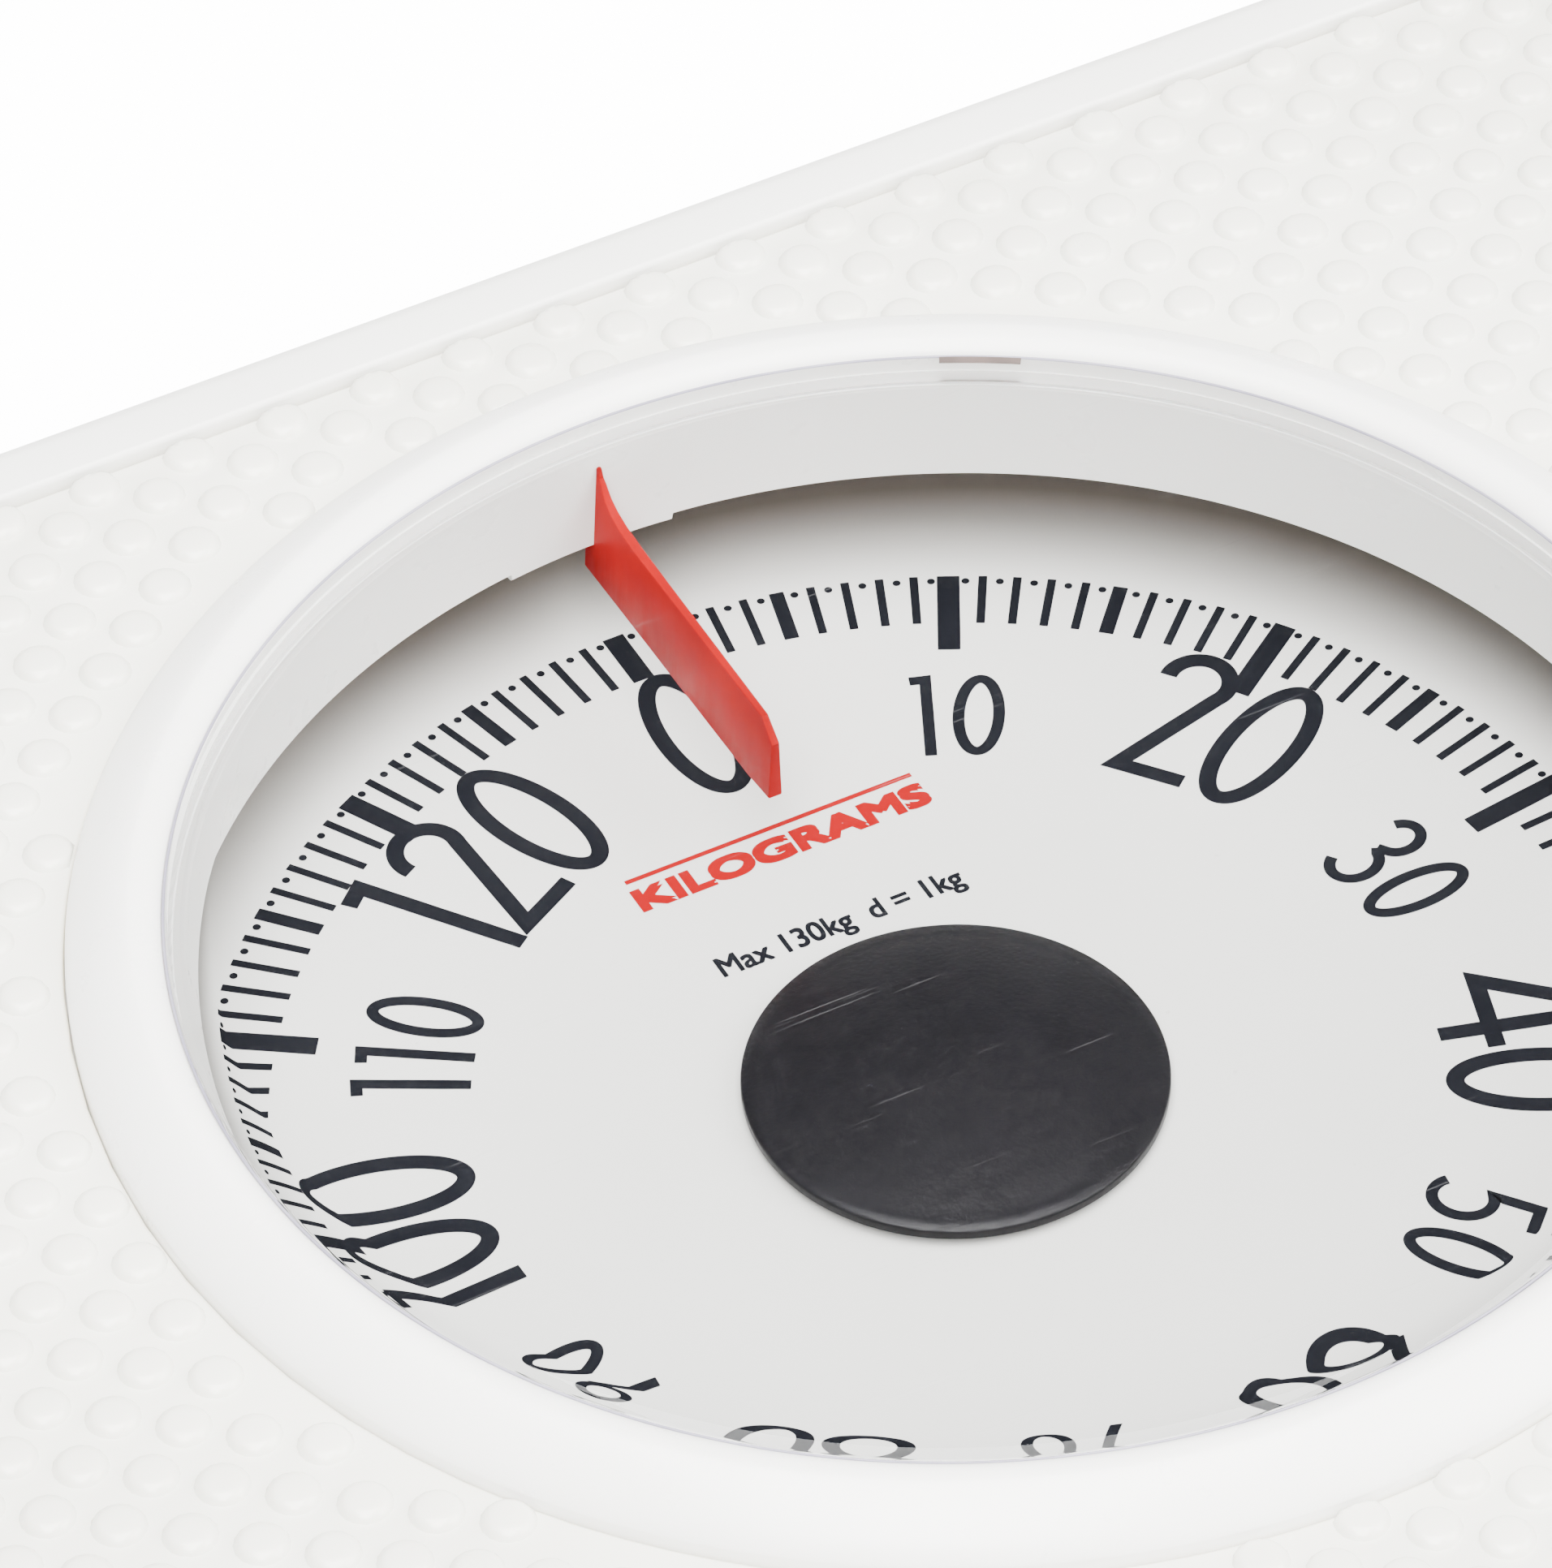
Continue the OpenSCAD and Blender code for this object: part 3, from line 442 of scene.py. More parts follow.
def lathe(profile, angles):
    """Turns a closed (radius, height) outline round the dial's axis; returns points and faces."""
    points = [(r * math.cos(a), DIAL_Y + r * math.sin(a), z) for a in angles for r, z in profile]
    n, rows = len(profile), len(angles)
    faces = [(k * n + i, k * n + (i + 1) % n, (k + 1) % rows * n + (i + 1) % n,
              (k + 1) % rows * n + i) for k in range(rows) for i in range(n)]
    return points, faces


def even_angles(count):
    return [TAU * k / count for k in range(count)]


def skin(loops):
    """Joins loops of equal length into a band that closes on itself."""
    n = len(loops[0])
    points = [p for loop in loops for p in loop]
    faces = []
    for k in range(len(loops)):
        a, b = k * n, (k + 1) % len(loops) * n
        faces += [(a + i, a + (i + 1) % n, b + (i + 1) % n, b + i) for i in range(n)]
    return points, faces


def rounded_outline(half_w, half_l, radius, z):
    """Rounded rectangle as a loop of points with a fixed count for any size."""
    corner_steps, side_steps = 20, 24
    x, y = half_w - radius, half_l - radius
    corners = [arc(cx, cy, radius, radius, start, start + 90, corner_steps)
               for cx, cy, start in ((x, y, 0), (-x, y, 90), (-x, -y, 180), (x, -y, 270))]
    loop = []
    for corner, following in zip(corners, corners[1:] + corners[:1]):
        (ax, ay), (bx, by) = corner[-1], following[0]
        loop += corner
        loop += [(ax + (bx - ax) * i / side_steps, ay + (by - ay) * i / side_steps)
                 for i in range(1, side_steps)]
    return [(x, y, z) for x, y in loop]


def inset_outline(inset, z):
    """The platform's outline, drawn in by the inset."""
    return rounded_outline(HALF_W - inset, HALF_L - inset, CORNER_R - inset, z)


def hole_outline(loop, radius, z):
    """Circle round the dial with one point for each point of the loop, in its direction."""
    circle = []
    for x, y, _ in loop:
        d = math.hypot(x, y - DIAL_Y)
        circle.append((x / d * radius, DIAL_Y + (y - DIAL_Y) / d * radius, z))
    return circle


def tube(path, radius, sides):
    """Closed tube along a path with rings square to it; the rings don't twist."""
    path = [Vector(p) for p in path]
    points, faces = [], []
    side = None
    for i, p in enumerate(path):
        t = (path[min(i + 1, len(path) - 1)] - path[max(i - 1, 0)]).normalized()
        side = (t.orthogonal() if side is None else side - side.dot(t) * t).normalized()
        other = t.cross(side)
        points += [p + radius * (math.cos(TAU * k / sides) * side + math.sin(TAU * k / sides) * other)
                   for k in range(sides)]
    for i in range(len(path) - 1):
        faces += [(i * sides + k, i * sides + (k + 1) % sides,
                   (i + 1) * sides + (k + 1) % sides, (i + 1) * sides + k) for k in range(sides)]
    faces += [tuple(range(sides - 1, -1, -1)),
              tuple((len(path) - 1) * sides + k for k in range(sides))]
    return points, faces


def gather(parts):
    """Joins several (points, faces) lists into one."""
    points, faces = [], []
    for some_points, some_faces in parts:
        shift = len(points)
        points += some_points
        faces += [tuple(shift + i for i in f) for f in some_faces]
    return points, faces


# ---------------------------------------------------------------- platform cover


def cover():
    """Pressed cover: skirt, rounded rim, step down to the seat plate with the dial's hole."""
    sheet, round_r = 1.2, 2.6
    roll = 0.5
    rim = [(round_r - round_r * math.cos(math.radians(t)),
            RIM_Z - round_r + round_r * math.sin(math.radians(t))) for t in range(0, 91, 9)]
    inner_edge = [(RIM_W - roll + roll * math.sin(math.radians(t)),
                   RIM_Z - roll + roll * math.cos(math.radians(t))) for t in range(0, 91, 18)]
    under = [(round_r - (round_r - sheet) * math.cos(math.radians(t)),
              RIM_Z - round_r + (round_r - sheet) * math.sin(math.radians(t)))
             for t in range(90, -1, -15)]
    rows = [(0, SKIRT_Z + 0.5 + (RIM_Z - round_r - SKIRT_Z) * k / 4) for k in range(4)]
    rows += rim + inner_edge + [(RIM_W, SEAT_Z)]
    outer = [inset_outline(d, z) for d, z in rows]
    hole_r = BEZEL_R - 3.4
    plate = [hole_outline(outer[-1], hole_r, SEAT_Z),
             hole_outline(outer[-1], hole_r, SEAT_Z - sheet)]
    back_rows = [(RIM_W, SEAT_Z - sheet), (round_r, SEAT_Z - sheet), *under,
                 (sheet, SKIRT_Z + 0.35), (sheet * 0.7, SKIRT_Z), (sheet * 0.3, SKIRT_Z)]
    inner = [inset_outline(d, z) for d, z in back_rows]
    points, faces = skin(outer + plate + inner)
    build("platform_cover_shell", points, faces, finish_of["white_paint"], "platform",
          40, ["platform_cover"])


cover()

# ---------------------------------------------------------------- mat

# the mat stays clear of the platform's rim and of the bezel
MAT_EDGE = RIM_W + 0.3
MAT_HOLE = BEZEL_R + 0.15
# the grid of pips, and where it starts
PIP_STEP_X, PIP_STEP_Y = 4.25, 6.75
PIP_SHIFT_X, PIP_SHIFT_Y = 0.42, 2.8
# a pip's centre lies at most this far past the mat's outer edge and at least this far off its hole
PIP_CUT = 1.2
# pips end this far inside the mat's edges
PIP_INSET = 0.3


def mat_sheet():
    """Vinyl sheet with softened edges, smooth beside the bezel."""
    top = SHEET_Z
    outer = [inset_outline(d, z) for d, z in
             ((MAT_EDGE + 0.25, SEAT_Z), (MAT_EDGE, SEAT_Z + 0.25), (MAT_EDGE, top - 0.5),
              (MAT_EDGE + 0.15, top - 0.15), (MAT_EDGE + 0.5, top))]
    far = outer[-1]
    inner = [hole_outline(far, r, z) for r, z in
             ((MAT_HOLE + 0.5, top), (MAT_HOLE + 0.15, top - 0.15), (MAT_HOLE, top - 0.5),
              (MAT_HOLE, SEAT_Z))]
    points, faces = skin(outer + inner)
    build("mat_sheet", points, faces, finish_of["cream_vinyl"], "platform",
          50, ["platform_mat"])


def has_pip(x, y):
    """True where the centre of a pip may lie."""
    half_w, half_l, corner = (size - MAT_EDGE for size in (HALF_W, HALF_L, CORNER_R))
    if abs(x) > half_w + PIP_CUT or abs(y) > half_l + PIP_CUT:
        return False
    ex, ey = abs(x) - (half_w - corner), abs(y) - (half_l - corner)
    if ex > 0 and ey > 0 and math.hypot(ex, ey) > corner + PIP_CUT:
        return False
    return math.hypot(x, y - DIAL_Y) > MAT_HOLE + PIP_CUT


def held_inside(x, y):
    """Pulls a point that lies past the mat's edges back to just inside them."""
    half_w, half_l, corner = (size - MAT_EDGE - PIP_INSET for size in (HALF_W, HALF_L, CORNER_R))
    hole = MAT_HOLE + PIP_INSET
    ex, ey = abs(x) - (half_w - corner), abs(y) - (half_l - corner)
    d = math.hypot(ex, ey)
    if ex > 0 and ey > 0 and d > corner:
        x = math.copysign(half_w - corner + ex / d * corner, x)
        y = math.copysign(half_l - corner + ey / d * corner, y)
    x, y = max(-half_w, min(half_w, x)), max(-half_l, min(half_l, y))
    d = math.hypot(x, y - DIAL_Y)
    if d < hole:
        x, y = x / d * hole, DIAL_Y + (y - DIAL_Y) / d * hole
    return x, y


def pip(x, y):
    """Low round pip, cut off at the mat's edges; each ring has a radius and a share of the rise."""
    rings = ((2.2, -0.04), (2.1, 0.20), (1.94, 0.50), (1.72, 0.76), (1.40, 0.91), (0.9, 0.98))
    sides = 16
    points = [(*held_inside(x + r * math.cos(a), y + r * math.sin(a)), SHEET_Z + rise * PIP_RISE)
              for r, rise in rings for a in even_angles(sides)]
    points.append((*held_inside(x, y), SHEET_Z + PIP_RISE))
    faces = [(i * sides + j, i * sides + (j + 1) % sides, (i + 1) * sides + (j + 1) % sides,
              (i + 1) * sides + j) for i in range(len(rings) - 1) for j in range(sides)]
    last = (len(rings) - 1) * sides
    faces += [(last + j, last + (j + 1) % sides, len(points) - 1) for j in range(sides)]
    return points, faces


def mat_pips():
    """Staggered rows of pips, in four banks of fair size from the near end to the far end."""
    banks = [("near", []), ("inner", []), ("outer", []), ("far", [])]
    columns = int(HALF_W / PIP_STEP_X) + 1
    rows = int(HALF_L / PIP_STEP_Y) + 2
    for c in range(-columns, columns + 1):
        for k in range(-rows, rows + 1):
            x = c * PIP_STEP_X + PIP_SHIFT_X
            y = (k + c % 2 / 2) * PIP_STEP_Y + PIP_SHIFT_Y
            if has_pip(x, y):
                _, pips = banks[int(2 + 2 * y / HALF_L)]
                pips.append(pip(x, y))
    for bank, parts in banks:
        points, faces = gather(parts)
        mesh = bpy.data.meshes.new("mat_pips_" + bank)
        mesh.from_pydata([tuple(v * MM for v in p) for p in points], [], faces)
        place("mat_pips_" + bank, mesh, finish_of["cream_vinyl"], "platform", 75)


mat_sheet()
mat_pips()

# ---------------------------------------------------------------- bezel, lens, cap


def bezel():
    """Moulded ring: well wall with a small tab, lip for the lens, crest and a flank to the mat."""
    crest_r, lip_z, lens_seat = WELL_R + 3, MAT_TOP + 2.6, LENS_R + LENS_PLAY
    profile = [(WELL_R, WALL_LOW + 0.3), (WELL_R, LENS_Z), (lens_seat, LENS_Z)]
    profile += arc(crest_r, lip_z, crest_r - lens_seat, CREST_Z - lip_z, 180, 90, 12)
    fullness, tab_drop = 1.4, 0.6
    for t in range(84, -1, -6):
        across, up = math.cos(math.radians(t)), math.sin(math.radians(t))
        profile.append((crest_r + (BEZEL_R - crest_r) * across ** (2 / fullness),
                        MAT_TOP + (CREST_Z - MAT_TOP) * up ** (2 / fullness)))
    profile += [(BEZEL_R, SEAT_Z), (BEZEL_R - 4, SEAT_Z), (BEZEL_R - 4, SEAT_Z - 3.5),
                (WELL_R + 2.6, SEAT_Z - 5), (WELL_R + 2.6, WALL_LOW + 0.3),
                (WELL_R + 2.3, WALL_LOW), (WELL_R + 0.3, WALL_LOW)]
    tab = [math.radians(a) for a in (83.95, 84.05, 97.95, 98.05)]
    angles = sorted(even_angles(320) + tab)
    points, faces = lathe(profile, angles)
    n = len(profile)
    lowered = []
    for k, (x, y, z) in enumerate(points):
        angle = angles[k // n]
        if tab[1] - 1e-6 < angle < tab[2] + 1e-6 and z < WALL_LOW + 0.5:
            z -= tab_drop
        lowered.append((x, y, z))
    build("bezel_shell", lowered, faces, finish_of["white_plastic"], "platform",
          30, ["bezel_ring"])


def lens():
    """Clear window bedded in the bezel: a small shoulder above and a curled edge below."""
    shoulder, pane_z, bed = 0.5, LENS_TOP - 1.8, 0.02
    outer_r, inner_r = LENS_R + LENS_PLAY + bed, WELL_R + bed
    curl_r, slope = 7.5, 26
    curl_w = curl_r * math.sin(math.radians(slope))
    curl = [(inner_r - curl_w + curl_r * math.sin(math.radians(t)),
             pane_z - curl_r * (1 - math.cos(math.radians(t)))) for t in range(slope, -1, -2)]
    profile = [(0, LENS_TOP), (LENS_R * 0.5, LENS_TOP)]
    profile += arc(outer_r - shoulder, LENS_TOP - shoulder, shoulder, shoulder, 90, 0, 14)
    profile += [(outer_r, LENS_Z - bed), (inner_r, LENS_Z - bed), *curl,
                (LENS_R * 0.5, pane_z), (0, pane_z)]
    points, faces = lathe(profile, even_angles(320))
    build("lens_clear", points, faces, finish_of["clear_plastic"], "platform",
          30, ["lens"])


def lug():
    """Small brown stop that lies on the window beside the bezel's lip."""
    start, span, steps = 62.7, 6.3, 12
    angles = [math.radians(start - span * k / steps) for k in range(steps + 1)]
    section = [(LENS_R - 0.95, LENS_TOP - 0.02), (LENS_R - 0.3, LENS_TOP - 0.02),
               (LENS_R - 0.3, LENS_TOP + 0.14), (LENS_R - 0.87, LENS_TOP + 0.12)]
    points = [(r * math.cos(a), DIAL_Y + r * math.sin(a), z) for a in angles for r, z in section]
    faces = [(k * 4 + i, k * 4 + (i + 1) % 4, (k + 1) * 4 + (i + 1) % 4, (k + 1) * 4 + i)
             for k in range(steps) for i in range(4)]
    faces += [(0, 1, 2, 3), tuple(4 * steps + i for i in range(4))]
    build("window_lug", points, faces, lug_brown, "platform", 30)


def seam():
    """Fine grey-violet bead in the seam round the window: painted seam shade in place of the seam's
    dark line.
    """
    profile = arc(LENS_R - 0.10, LENS_TOP - 0.08, 0.13, 0.16, 0, 330, 11)
    points, faces = lathe(profile, even_angles(240))
    build("window_seam", points, faces, painted_seam_shade, "platform", 60)


def cap():
    """Low dome on a smaller foot, with a fine rounded edge, over its spigot."""
    foot, edge, rise = 0.7, 0.9, 1.6
    dome_r = (CAP_R * CAP_R + rise * rise) / (2 * rise)
    dome = [(CAP_R * k / 16, CAP_TOP - dome_r + math.sqrt(dome_r ** 2 - (CAP_R * k / 16) ** 2))
            for k in range(16)]
    low = FACE_Z + foot
    rim = [(CAP_R - 0.14, low + edge + 0.10), (CAP_R - 0.03, low + edge), (CAP_R, low + edge - 0.15),
           (CAP_R, low + 0.2), (CAP_R - 0.2, low), (CAP_R - 1.3, low), (CAP_R - 1.3, FACE_Z)]
    spigot = [(2.9, FACE_Z), (2.9, cap_low.z / MM), (0, cap_low.z / MM)]
    points, faces = lathe(dome + rim + spigot, even_angles(192))
    build("cap_dome", points, faces, finish_of["cap_plastic"], "dial", 38,
          ["hub_cap"])


bezel()
lens()
seam()
lug()
cap()

# ---------------------------------------------------------------- pointer


def pointer():
    """Thin red fin with softened edges that hangs from the wall of the well."""
    low, high, top = FACE_Z + 6.6, FACE_Z + 14.5, SEAT_Z - 0.6
    wall, tip = DIAL_Y + WELL_R, DIAL_Y + 30.2
    root = wall + 1.5
    flare = [(wall - 0.3, top), (wall - 0.5, top - 1), (wall - 0.9, high + 2.4),
             (wall - 1.6, high + 1.3), (wall - 2.6, high + 0.65), (wall - 4.2, high + 0.2),
             (wall - 6.5, high)]
    outline = [(tip + 0.4, low), (tip + 3.8, low - 0.2), (root, low - 0.2), (root, top - 0.6),
               *flare, (tip + 1.8, high), (tip, high - 1.8)]

    def half(y, z):
        """Half the thickness: less at the inner end, at the top and up the flare."""
        low_half = 0.62 + 0.33 * min(1, (y - tip + 0.2) / 14)
        rise = min(1, max(0, (z - low) / (high - low)))
        past = max(0, (z - high) / (top - high))
        return low_half * (1 - 0.55 * rise) * (1 - 0.6 * past)

    work = bmesh.new()
    rings = [[work.verts.new((side * half(y, z) * MM, y * MM, z * MM)) for y, z in outline]
             for side in (-1, 1)]
    work.faces.new(rings[0])
    work.faces.new(list(reversed(rings[1])))
    n = len(outline)
    for i in range(n):
        work.faces.new((rings[0][(i + 1) % n], rings[0][i], rings[1][i], rings[1][(i + 1) % n]))
    bmesh.ops.recalc_face_normals(work, faces=work.faces)
    flat_edges = [e for e in work.edges if e.verts[0].co.x * e.verts[1].co.x > 0]
    bmesh.ops.bevel(work, geom=flat_edges, offset=0.12 * MM, segments=3, profile=0.5,
                    affect="EDGES", clamp_overlap=True)
    mesh = bpy.data.meshes.new("pointer_fin")
    work.to_mesh(mesh)
    work.free()
    place("pointer_fin", mesh, finish_of["red_plastic"], "platform", 25,
          ["pointer"])


pointer()

# ---------------------------------------------------------------- dial print

INK_Z = FACE_Z + 0.03
INK_LAYER = 0.006
KG_PER_TURN = 130
# numbers stand a little clockwise of their bars
FIGURE_TURN = math.radians(0.9)


def polar(angle, radius):
    """Point on the dial: angle in radians clockwise from the far side."""
    return Vector((radius * math.sin(angle), DIAL_Y + radius * math.cos(angle)))


def kg_angle(kg):
    return TAU * kg / KG_PER_TURN


def ribbon(line, width, closed):
    """Flat strip of even width along a 2-D line, with mitred corners."""
    n = len(line)
    left, right = [], []
    for i, p in enumerate(line):
        before = line[(i - 1) % n] if closed or i > 0 else None
        after = line[(i + 1) % n] if closed or i < n - 1 else None
        d1 = (p - before).normalized() if before is not None else (after - p).normalized()
        d2 = (after - p).normalized() if after is not None else d1
        n1, n2 = Vector((-d1.y, d1.x)), Vector((-d2.y, d2.x))
        middle = (n1 + n2).normalized()
        reach = width / 2 / max(0.3, middle.dot(n1))
        left.append(p + middle * reach)
        right.append(p - middle * reach)
    points = left + right
    faces = [(i, (i + 1) % n, n + (i + 1) % n, n + i) for i in range(n if closed else n - 1)]
    return points, faces


def curve(x, y, rx, ry, start, end, steps):
    return [Vector(p) for p in arc(x, y, rx, ry, start, end, steps)]


def glyph(sign, stroke):
    """Strokes of a figure one unit tall, as (line, closed), and its width. stroke is its weight."""
    h = stroke / 2
    v = Vector
    if sign == "0":
        w = 0.45
        return [(curve(w / 2, 0.5, w / 2 - h, 0.5 - h, 90, 450, 64)[:-1], True)], w
    if sign == "1":
        x = 0.19 - h
        return [([v((x, 0)), v((x, 1 - h)), v((0, 0.985 - h))], False)], 0.23
    if sign == "2":
        w = 0.42
        r = 0.215 - h
        top = curve(0.21, 1 - h - r, r, r, 184, -34, 32)
        return [(top + [v((0.045, h))] + [v((w, h))], False)], w
    if sign == "3":
        w = 0.43
        upper = curve(0.205, 0.755, 0.185 - h / 2, 0.245 - h, 158, -70, 26)
        lower = curve(0.195, 0.275, 0.235 - h, 0.275 - h, 78, -152, 30)
        return [(upper + [v((0.18, 0.535))], False), ([v((0.18, 0.535))] + lower, False)], w
    if sign == "4":
        w = 0.54
        return [([v((w, 0.27)), v((0.06, 0.27)), v((0.40, 0.97))], False),
                ([v((0.40, 1.0)), v((0.40, 0))], False)], w
    if sign == "5":
        w = 0.46
        bowl = curve(0.19, 0.31, 0.26 - h, 0.31 - h, 112, -138, 34)
        return [([v((0.42, 1 - h)), v((0.15, 1 - h))] + bowl, False)], w
    if sign == "6":
        w = 0.50
        bowl = curve(0.25, 0.28, 0.25 - h, 0.28 - h, 150, -210, 48)[:-1]
        return [(bowl, True), ([v((0.36, 1.0)), v((0.20, 0.68)), v((0.048, 0.40))], False)], w
    if sign == "7":
        w = 0.46
        return [([v((0, 1 - h)), v((0.42, 1 - h)), v((0.12, 0))], False)], w
    if sign == "8":
        w = 0.48
        upper = curve(w / 2, 0.765, 0.20 - h, 0.235 - h, 90, 450, 48)[:-1]
        lower = curve(w / 2, 0.28 - h / 2, 0.24 - h, 0.28 - h / 2, 90, 450, 52)[:-1]
        return [(upper, True), (lower, True)], w
    # the figure left over is 9
    w = 0.50
    bowl = curve(0.25, 0.72, 0.25 - h, 0.28 - h, -30, 330, 48)[:-1]
    return [(bowl, True), ([v((0.14, 0)), v((0.30, 0.32)), v((0.452, 0.60))], False)], w


def number(kg, height, base, stroke, gap):
    """A number whose figures stand side by side along an arc, each with its top outwards.

    height, base and stroke are in units of R0, and gap is in figure heights. Each further stroke
    lies a little higher, so that crossing strokes don't share a plane.
    """
    signs = [glyph(c, stroke / height) for c in str(kg)]
    total = sum(w for _, w in signs) + gap * (len(signs) - 1)
    parts = []
    x = -total / 2
    for strokes, w in signs:
        angle = kg_angle(kg) + (x + w / 2) * height / (base + height / 2) + FIGURE_TURN
        across = Vector((math.cos(angle), -math.sin(angle)))
        outward = Vector((math.sin(angle), math.cos(angle)))
        for layer, (line, closed) in enumerate(strokes):
            flat = [Vector(((p.x - w / 2) * height * R0, p.y * height * R0)) for p in line]
            points, faces = ribbon(flat, stroke * R0, closed)
            moved = [polar(angle, base * R0) + across * p.x + outward * p.y for p in points]
            z = INK_Z + INK_LAYER * (1 + layer)
            parts.append(([(p.x, p.y, z) for p in moved], faces))
        x += w + gap
    return parts


def ink(name, parts, finish):
    """Printed piece that faces up and rides on the dial."""
    points, faces = gather(parts)
    mesh = bpy.data.meshes.new(name)
    mesh.from_pydata([tuple(v * MM for v in p) for p in points], [], faces)
    tidy = bmesh.new()
    tidy.from_mesh(mesh)
    for face in tidy.faces:
        if face.normal.z < 0:
            face.normal_flip()
    tidy.to_mesh(mesh)
    tidy.free()
    place(name, mesh, finish, "dial")


def bar(angle, inner, outer, width):
    """Straight radial mark, its ends and width in units of R0."""
    across = Vector((math.cos(angle), -math.sin(angle))) * width * R0 / 2
    a, b = polar(angle, inner * R0), polar(angle, outer * R0)
    return [(*p, INK_Z) for p in (a - across, a + across, b + across, b - across)], [(0, 1, 2, 3)]


def dot(angle, radius, size):
    centre = polar(angle, radius * R0)
    r, sides = size * R0 / 2, 12
    return ([(centre.x + r * math.cos(a), centre.y + r * math.sin(a), INK_Z)
             for a in even_angles(sides)], [tuple(range(sides))])


def dial_print():
    """A bold bar and a number each 10 kg, a tick each kilogram and a dot at each half."""
    bold, medium, fine = 0.0315, 0.0208, 0.0122
    bar_length, short_bars, tick_length = 0.148, {0: 0.095, 120: 0.12}, 0.094
    dot_place, dot_size = 0.990, 0.0116
    marks, figures = [], []
    for kg in range(KG_PER_TURN):
        if kg % 10 == 0:
            marks.append(bar(kg_angle(kg), 1 - short_bars.get(kg, bar_length), 1, bold))
            if kg % 20 == 0:
                figures += number(kg, height=0.26, base=0.646, stroke=0.0245, gap=0.055)
            else:
                figures += number(kg, height=0.16, base=0.641, stroke=0.0165, gap=0.12)
        else:
            marks.append(bar(kg_angle(kg), 1 - tick_length, 1, medium if kg % 5 == 0 else fine))
        marks.append(dot(kg_angle(kg + 0.5), dot_place, dot_size))
    ink("dial_marks", marks, black_ink)
    ink("dial_figures", figures, black_ink)


def lettering(name, text, height, left, right, base, weight, finish):
    """A line of plain sans lettering between two sides; weight is how much bolder it is, in mm."""
    curve_data = bpy.data.curves.new(name, "FONT")
    curve_data.body = text
    curve_data.size = height * R0 * MM
    curve_data.resolution_u = 6
    source = bpy.data.objects.new(name + "_source", curve_data)
    bpy.context.scene.collection.objects.link(source)
    bpy.context.view_layer.update()
    shown = source.evaluated_get(bpy.context.evaluated_depsgraph_get())
    mesh = bpy.data.meshes.new_from_object(shown)
    bpy.data.objects.remove(source)
    xs = [vertex.co.x for vertex in mesh.vertices]
    stretch = (right - left) * R0 * MM / (max(xs) - min(xs))
    mesh.transform(Matrix.Diagonal((stretch, 1, 1, 1)) @ Matrix.Translation((-min(xs), 0, 0)))
    letters = ([(x / MM + left * R0, y / MM + DIAL_Y + base * R0)
                for x, y, _ in (vertex.co for vertex in mesh.vertices)],
               [tuple(polygon.vertices) for polygon in mesh.polygons])
    bpy.data.meshes.remove(mesh)
    half, layer_z = weight / 2, 0.004
    shifts = ((-half, -half), (half, -half), (-half, half), (half, half), (0, 0))
    ink(name, [([(x + dx, y + dy, INK_Z + layer_z * k) for x, y in letters[0]], letters[1])
               for k, (dx, dy) in enumerate(shifts)], finish)


def rule(name, left, right, low, high, finish):
    """A printed line, its sides in units of R0."""
    corners = ((left, low), (right, low), (right, high), (left, high))
    points = [(x * R0, DIAL_Y + y * R0, INK_Z) for x, y in corners]
    ink(name, [(points, [(0, 1, 2, 3)])], finish)


dial_print()
lettering("dial_capacity", "Max 130kg  d = 1kg", height=0.052, left=-0.170, right=0.197,
          base=0.336, weight=0.13, finish=black_ink)
unit_sides = {"left": -0.206, "right": 0.232}
lettering("dial_unit", "KILOGRAMS", height=0.056, base=0.501, weight=0.42, finish=red_ink,
          **unit_sides)
rule("dial_rule", low=0.5565, high=0.5645, finish=red_ink, **unit_sides)

# ---------------------------------------------------------------- springs


def coil(radius, low, height, turns, steps=24):
    """Points along a helix round the upright axis; steps says how many make a turn."""
    return [(radius * math.cos(TAU * i / steps), radius * math.sin(TAU * i / steps),
             low + height * i / (turns * steps)) for i in range(int(turns * steps) + 1)]


def spring(name, path, wire, node, sides):
    """A coil along a path, built in the shared frame with no body; wire is the wire's radius."""
    points, faces = tube(path, wire, sides)
    piece = build(name, points, faces, finish_of["spring_steel"], None, 40, [node])
    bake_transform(piece)


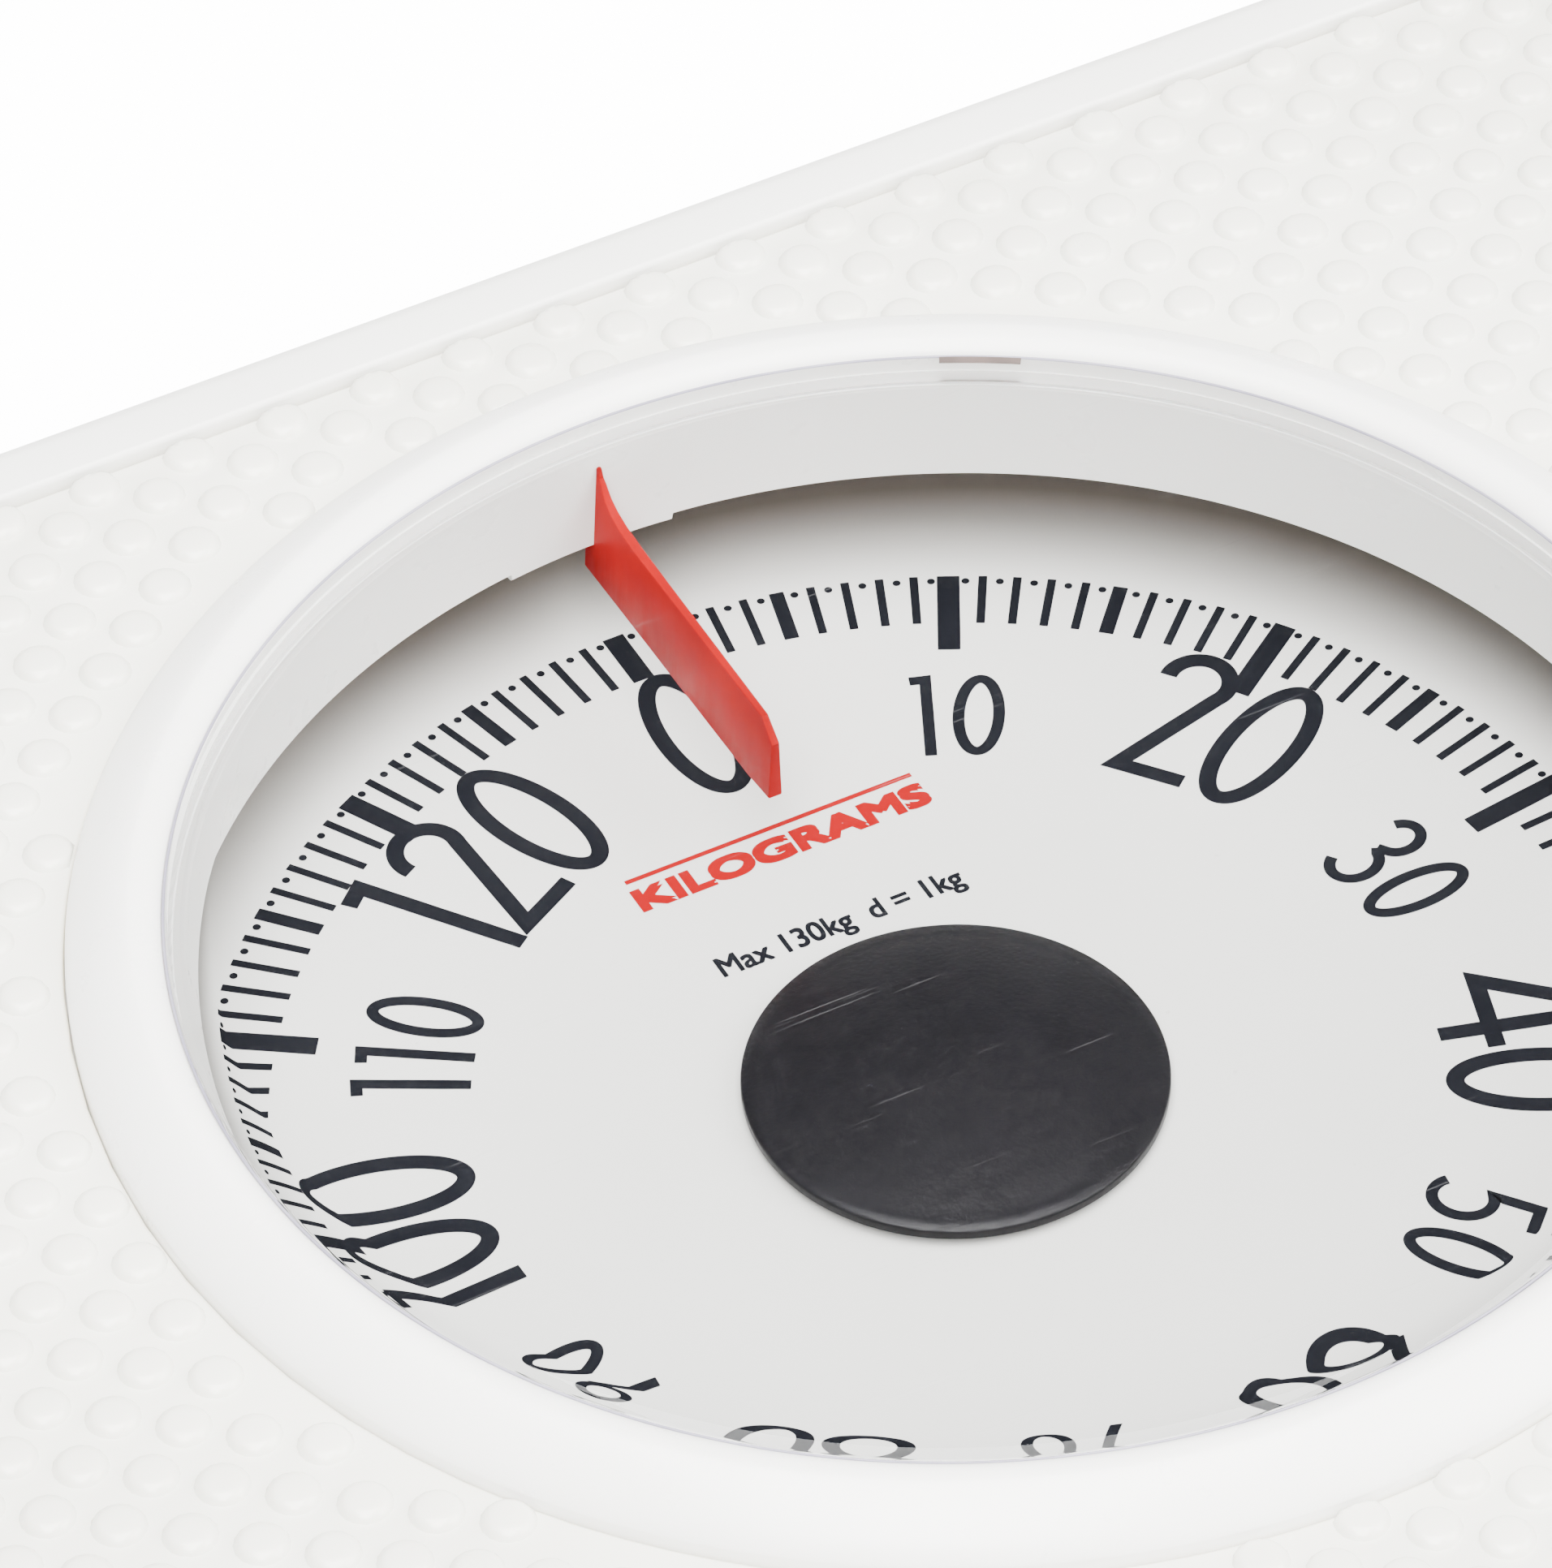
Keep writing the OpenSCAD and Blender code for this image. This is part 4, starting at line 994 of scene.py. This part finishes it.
def springs():
    """Main spring, rack's return spring and the pair that holds the platform down."""
    low, high = (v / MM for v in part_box("main_spring"))
    x, y = (low.x + high.x) / 2, (low.y + high.y) / 2
    coil_r, wire = 9.5, 1.5
    turns = coil(coil_r, low.z + wire, high.z - low.z - 2 * wire, 4)
    path = [(x + p[0], y + p[1], p[2]) for p in turns]
    spring("main_coil", path, wire, "main_spring",
           14)

    low, high = (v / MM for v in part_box("return_spring"))
    x, z = (low.x + high.x) / 2, (low.z + high.z) / 2
    coil_r, wire, start = 2.2, 0.35, low.y + 4
    turns = [(x + p[0], start + p[2], z - p[1]) for p in coil(coil_r, 0, 14, 12, 16)]
    path = [(x + coil_r, low.y + 0.4, z), *turns, (x + coil_r, high.y - 0.4, z)]
    spring("return_coil", path, wire, "return_spring",
           8)

    low, high = (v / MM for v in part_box("hold_down_springs"))
    parts = []
    side_x, y = 118, 20
    coil_r, wire, coil_low, coil_height = 3.5, 0.5, 28, 12
    for x in (-side_x, side_x):
        turns = [(x + p[0], y + p[1], p[2]) for p in coil(coil_r, coil_low, coil_height, 8, 18)]
        ends = [(x + coil_r, y, z) for z in (low.z + 0.3, high.z - 0.3)]
        parts.append(tube([ends[0], *turns, ends[1]], wire, 8))
    points, faces = gather(parts)
    piece = build("hold_down_coils", points, faces, finish_of["spring_steel"], None,
                  40, ["hold_down_springs"])
    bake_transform(piece)


springs()

# ---------------------------------------------------------------- finishes on the CAD nodes

slot_of_node = {part["node"]: part["material_slot"] for part in frame["record"]["subparts"]}
for name, node in nodes.items():
    finish = finish_of[slot_of_node[name]]
    for material_slot in node.material_slots:
        material_slot.material = finish

# ---------------------------------------------------------------- studio


def studio():
    """Floor that glows white to the camera alone, a dim even sky and three large soft lamps."""
    half, floor_glow, sky_glow = 40.0, 9.0, 0.08
    mesh = bpy.data.meshes.new("floor")
    corners = [(-half, -half, 0), (half, -half, 0), (half, half, 0), (-half, half, 0)]
    mesh.from_pydata(corners, [], [(0, 1, 2, 3)])
    g = Graph("pale_floor")
    colour = g.mix(g.noise(3, 2), (0.93, 0.93, 0.93), (0.91, 0.91, 0.91))
    rough = g.spread(g.noise(8, 2), 0.3, 0.7, 0.6, 0.7)
    base = g.principled(colour, rough, None, IOR=1.3)
    glow = g.node("ShaderNodeEmission")
    glow.inputs["Color"].default_value = (1, 1, 1, 1)
    path = g.node("ShaderNodeLightPath")
    g.link(g.maths("MULTIPLY", path.outputs["Is Camera Ray"], floor_glow), glow.inputs["Strength"])
    both = g.node("ShaderNodeAddShader")
    g.link(base, both.inputs[0])
    g.link(glow.outputs[0], both.inputs[1])
    mesh.materials.append(g.finish(both.outputs[0]))
    floor = bpy.data.objects.new("floor", mesh)
    bpy.context.scene.collection.objects.link(floor)

    world = bpy.data.worlds.new("studio")
    world.use_nodes = True
    sky = world.node_tree.nodes["Background"]
    sky.inputs["Color"].default_value = (1, 1, 1, 1)
    sky.inputs["Strength"].default_value = sky_glow
    bpy.context.scene.world = world

    target = Vector((0, 0.1, 0.05))

    def lamp(name, where, width, power):
        data = bpy.data.lights.new(name, "AREA")
        data.shape = "RECTANGLE"
        data.size, data.size_y = width, width
        data.energy = power
        data.color = (1, 0.99, 0.968)
        lamp_object = bpy.data.objects.new(name, data)
        lamp_object.location = where
        aim = target - Vector(where)
        lamp_object.rotation_euler = aim.to_track_quat("-Z", "Y").to_euler()
        bpy.context.scene.collection.objects.link(lamp_object)

    lamp("key", (-0.8, -1.2, 1.9), 1.3, 170)
    lamp("fill", (1.3, -0.8, 1.3), 1.4, 105)
    lamp("top", (-0.1, -0.1, 2.2), 1.6, 222)


studio()
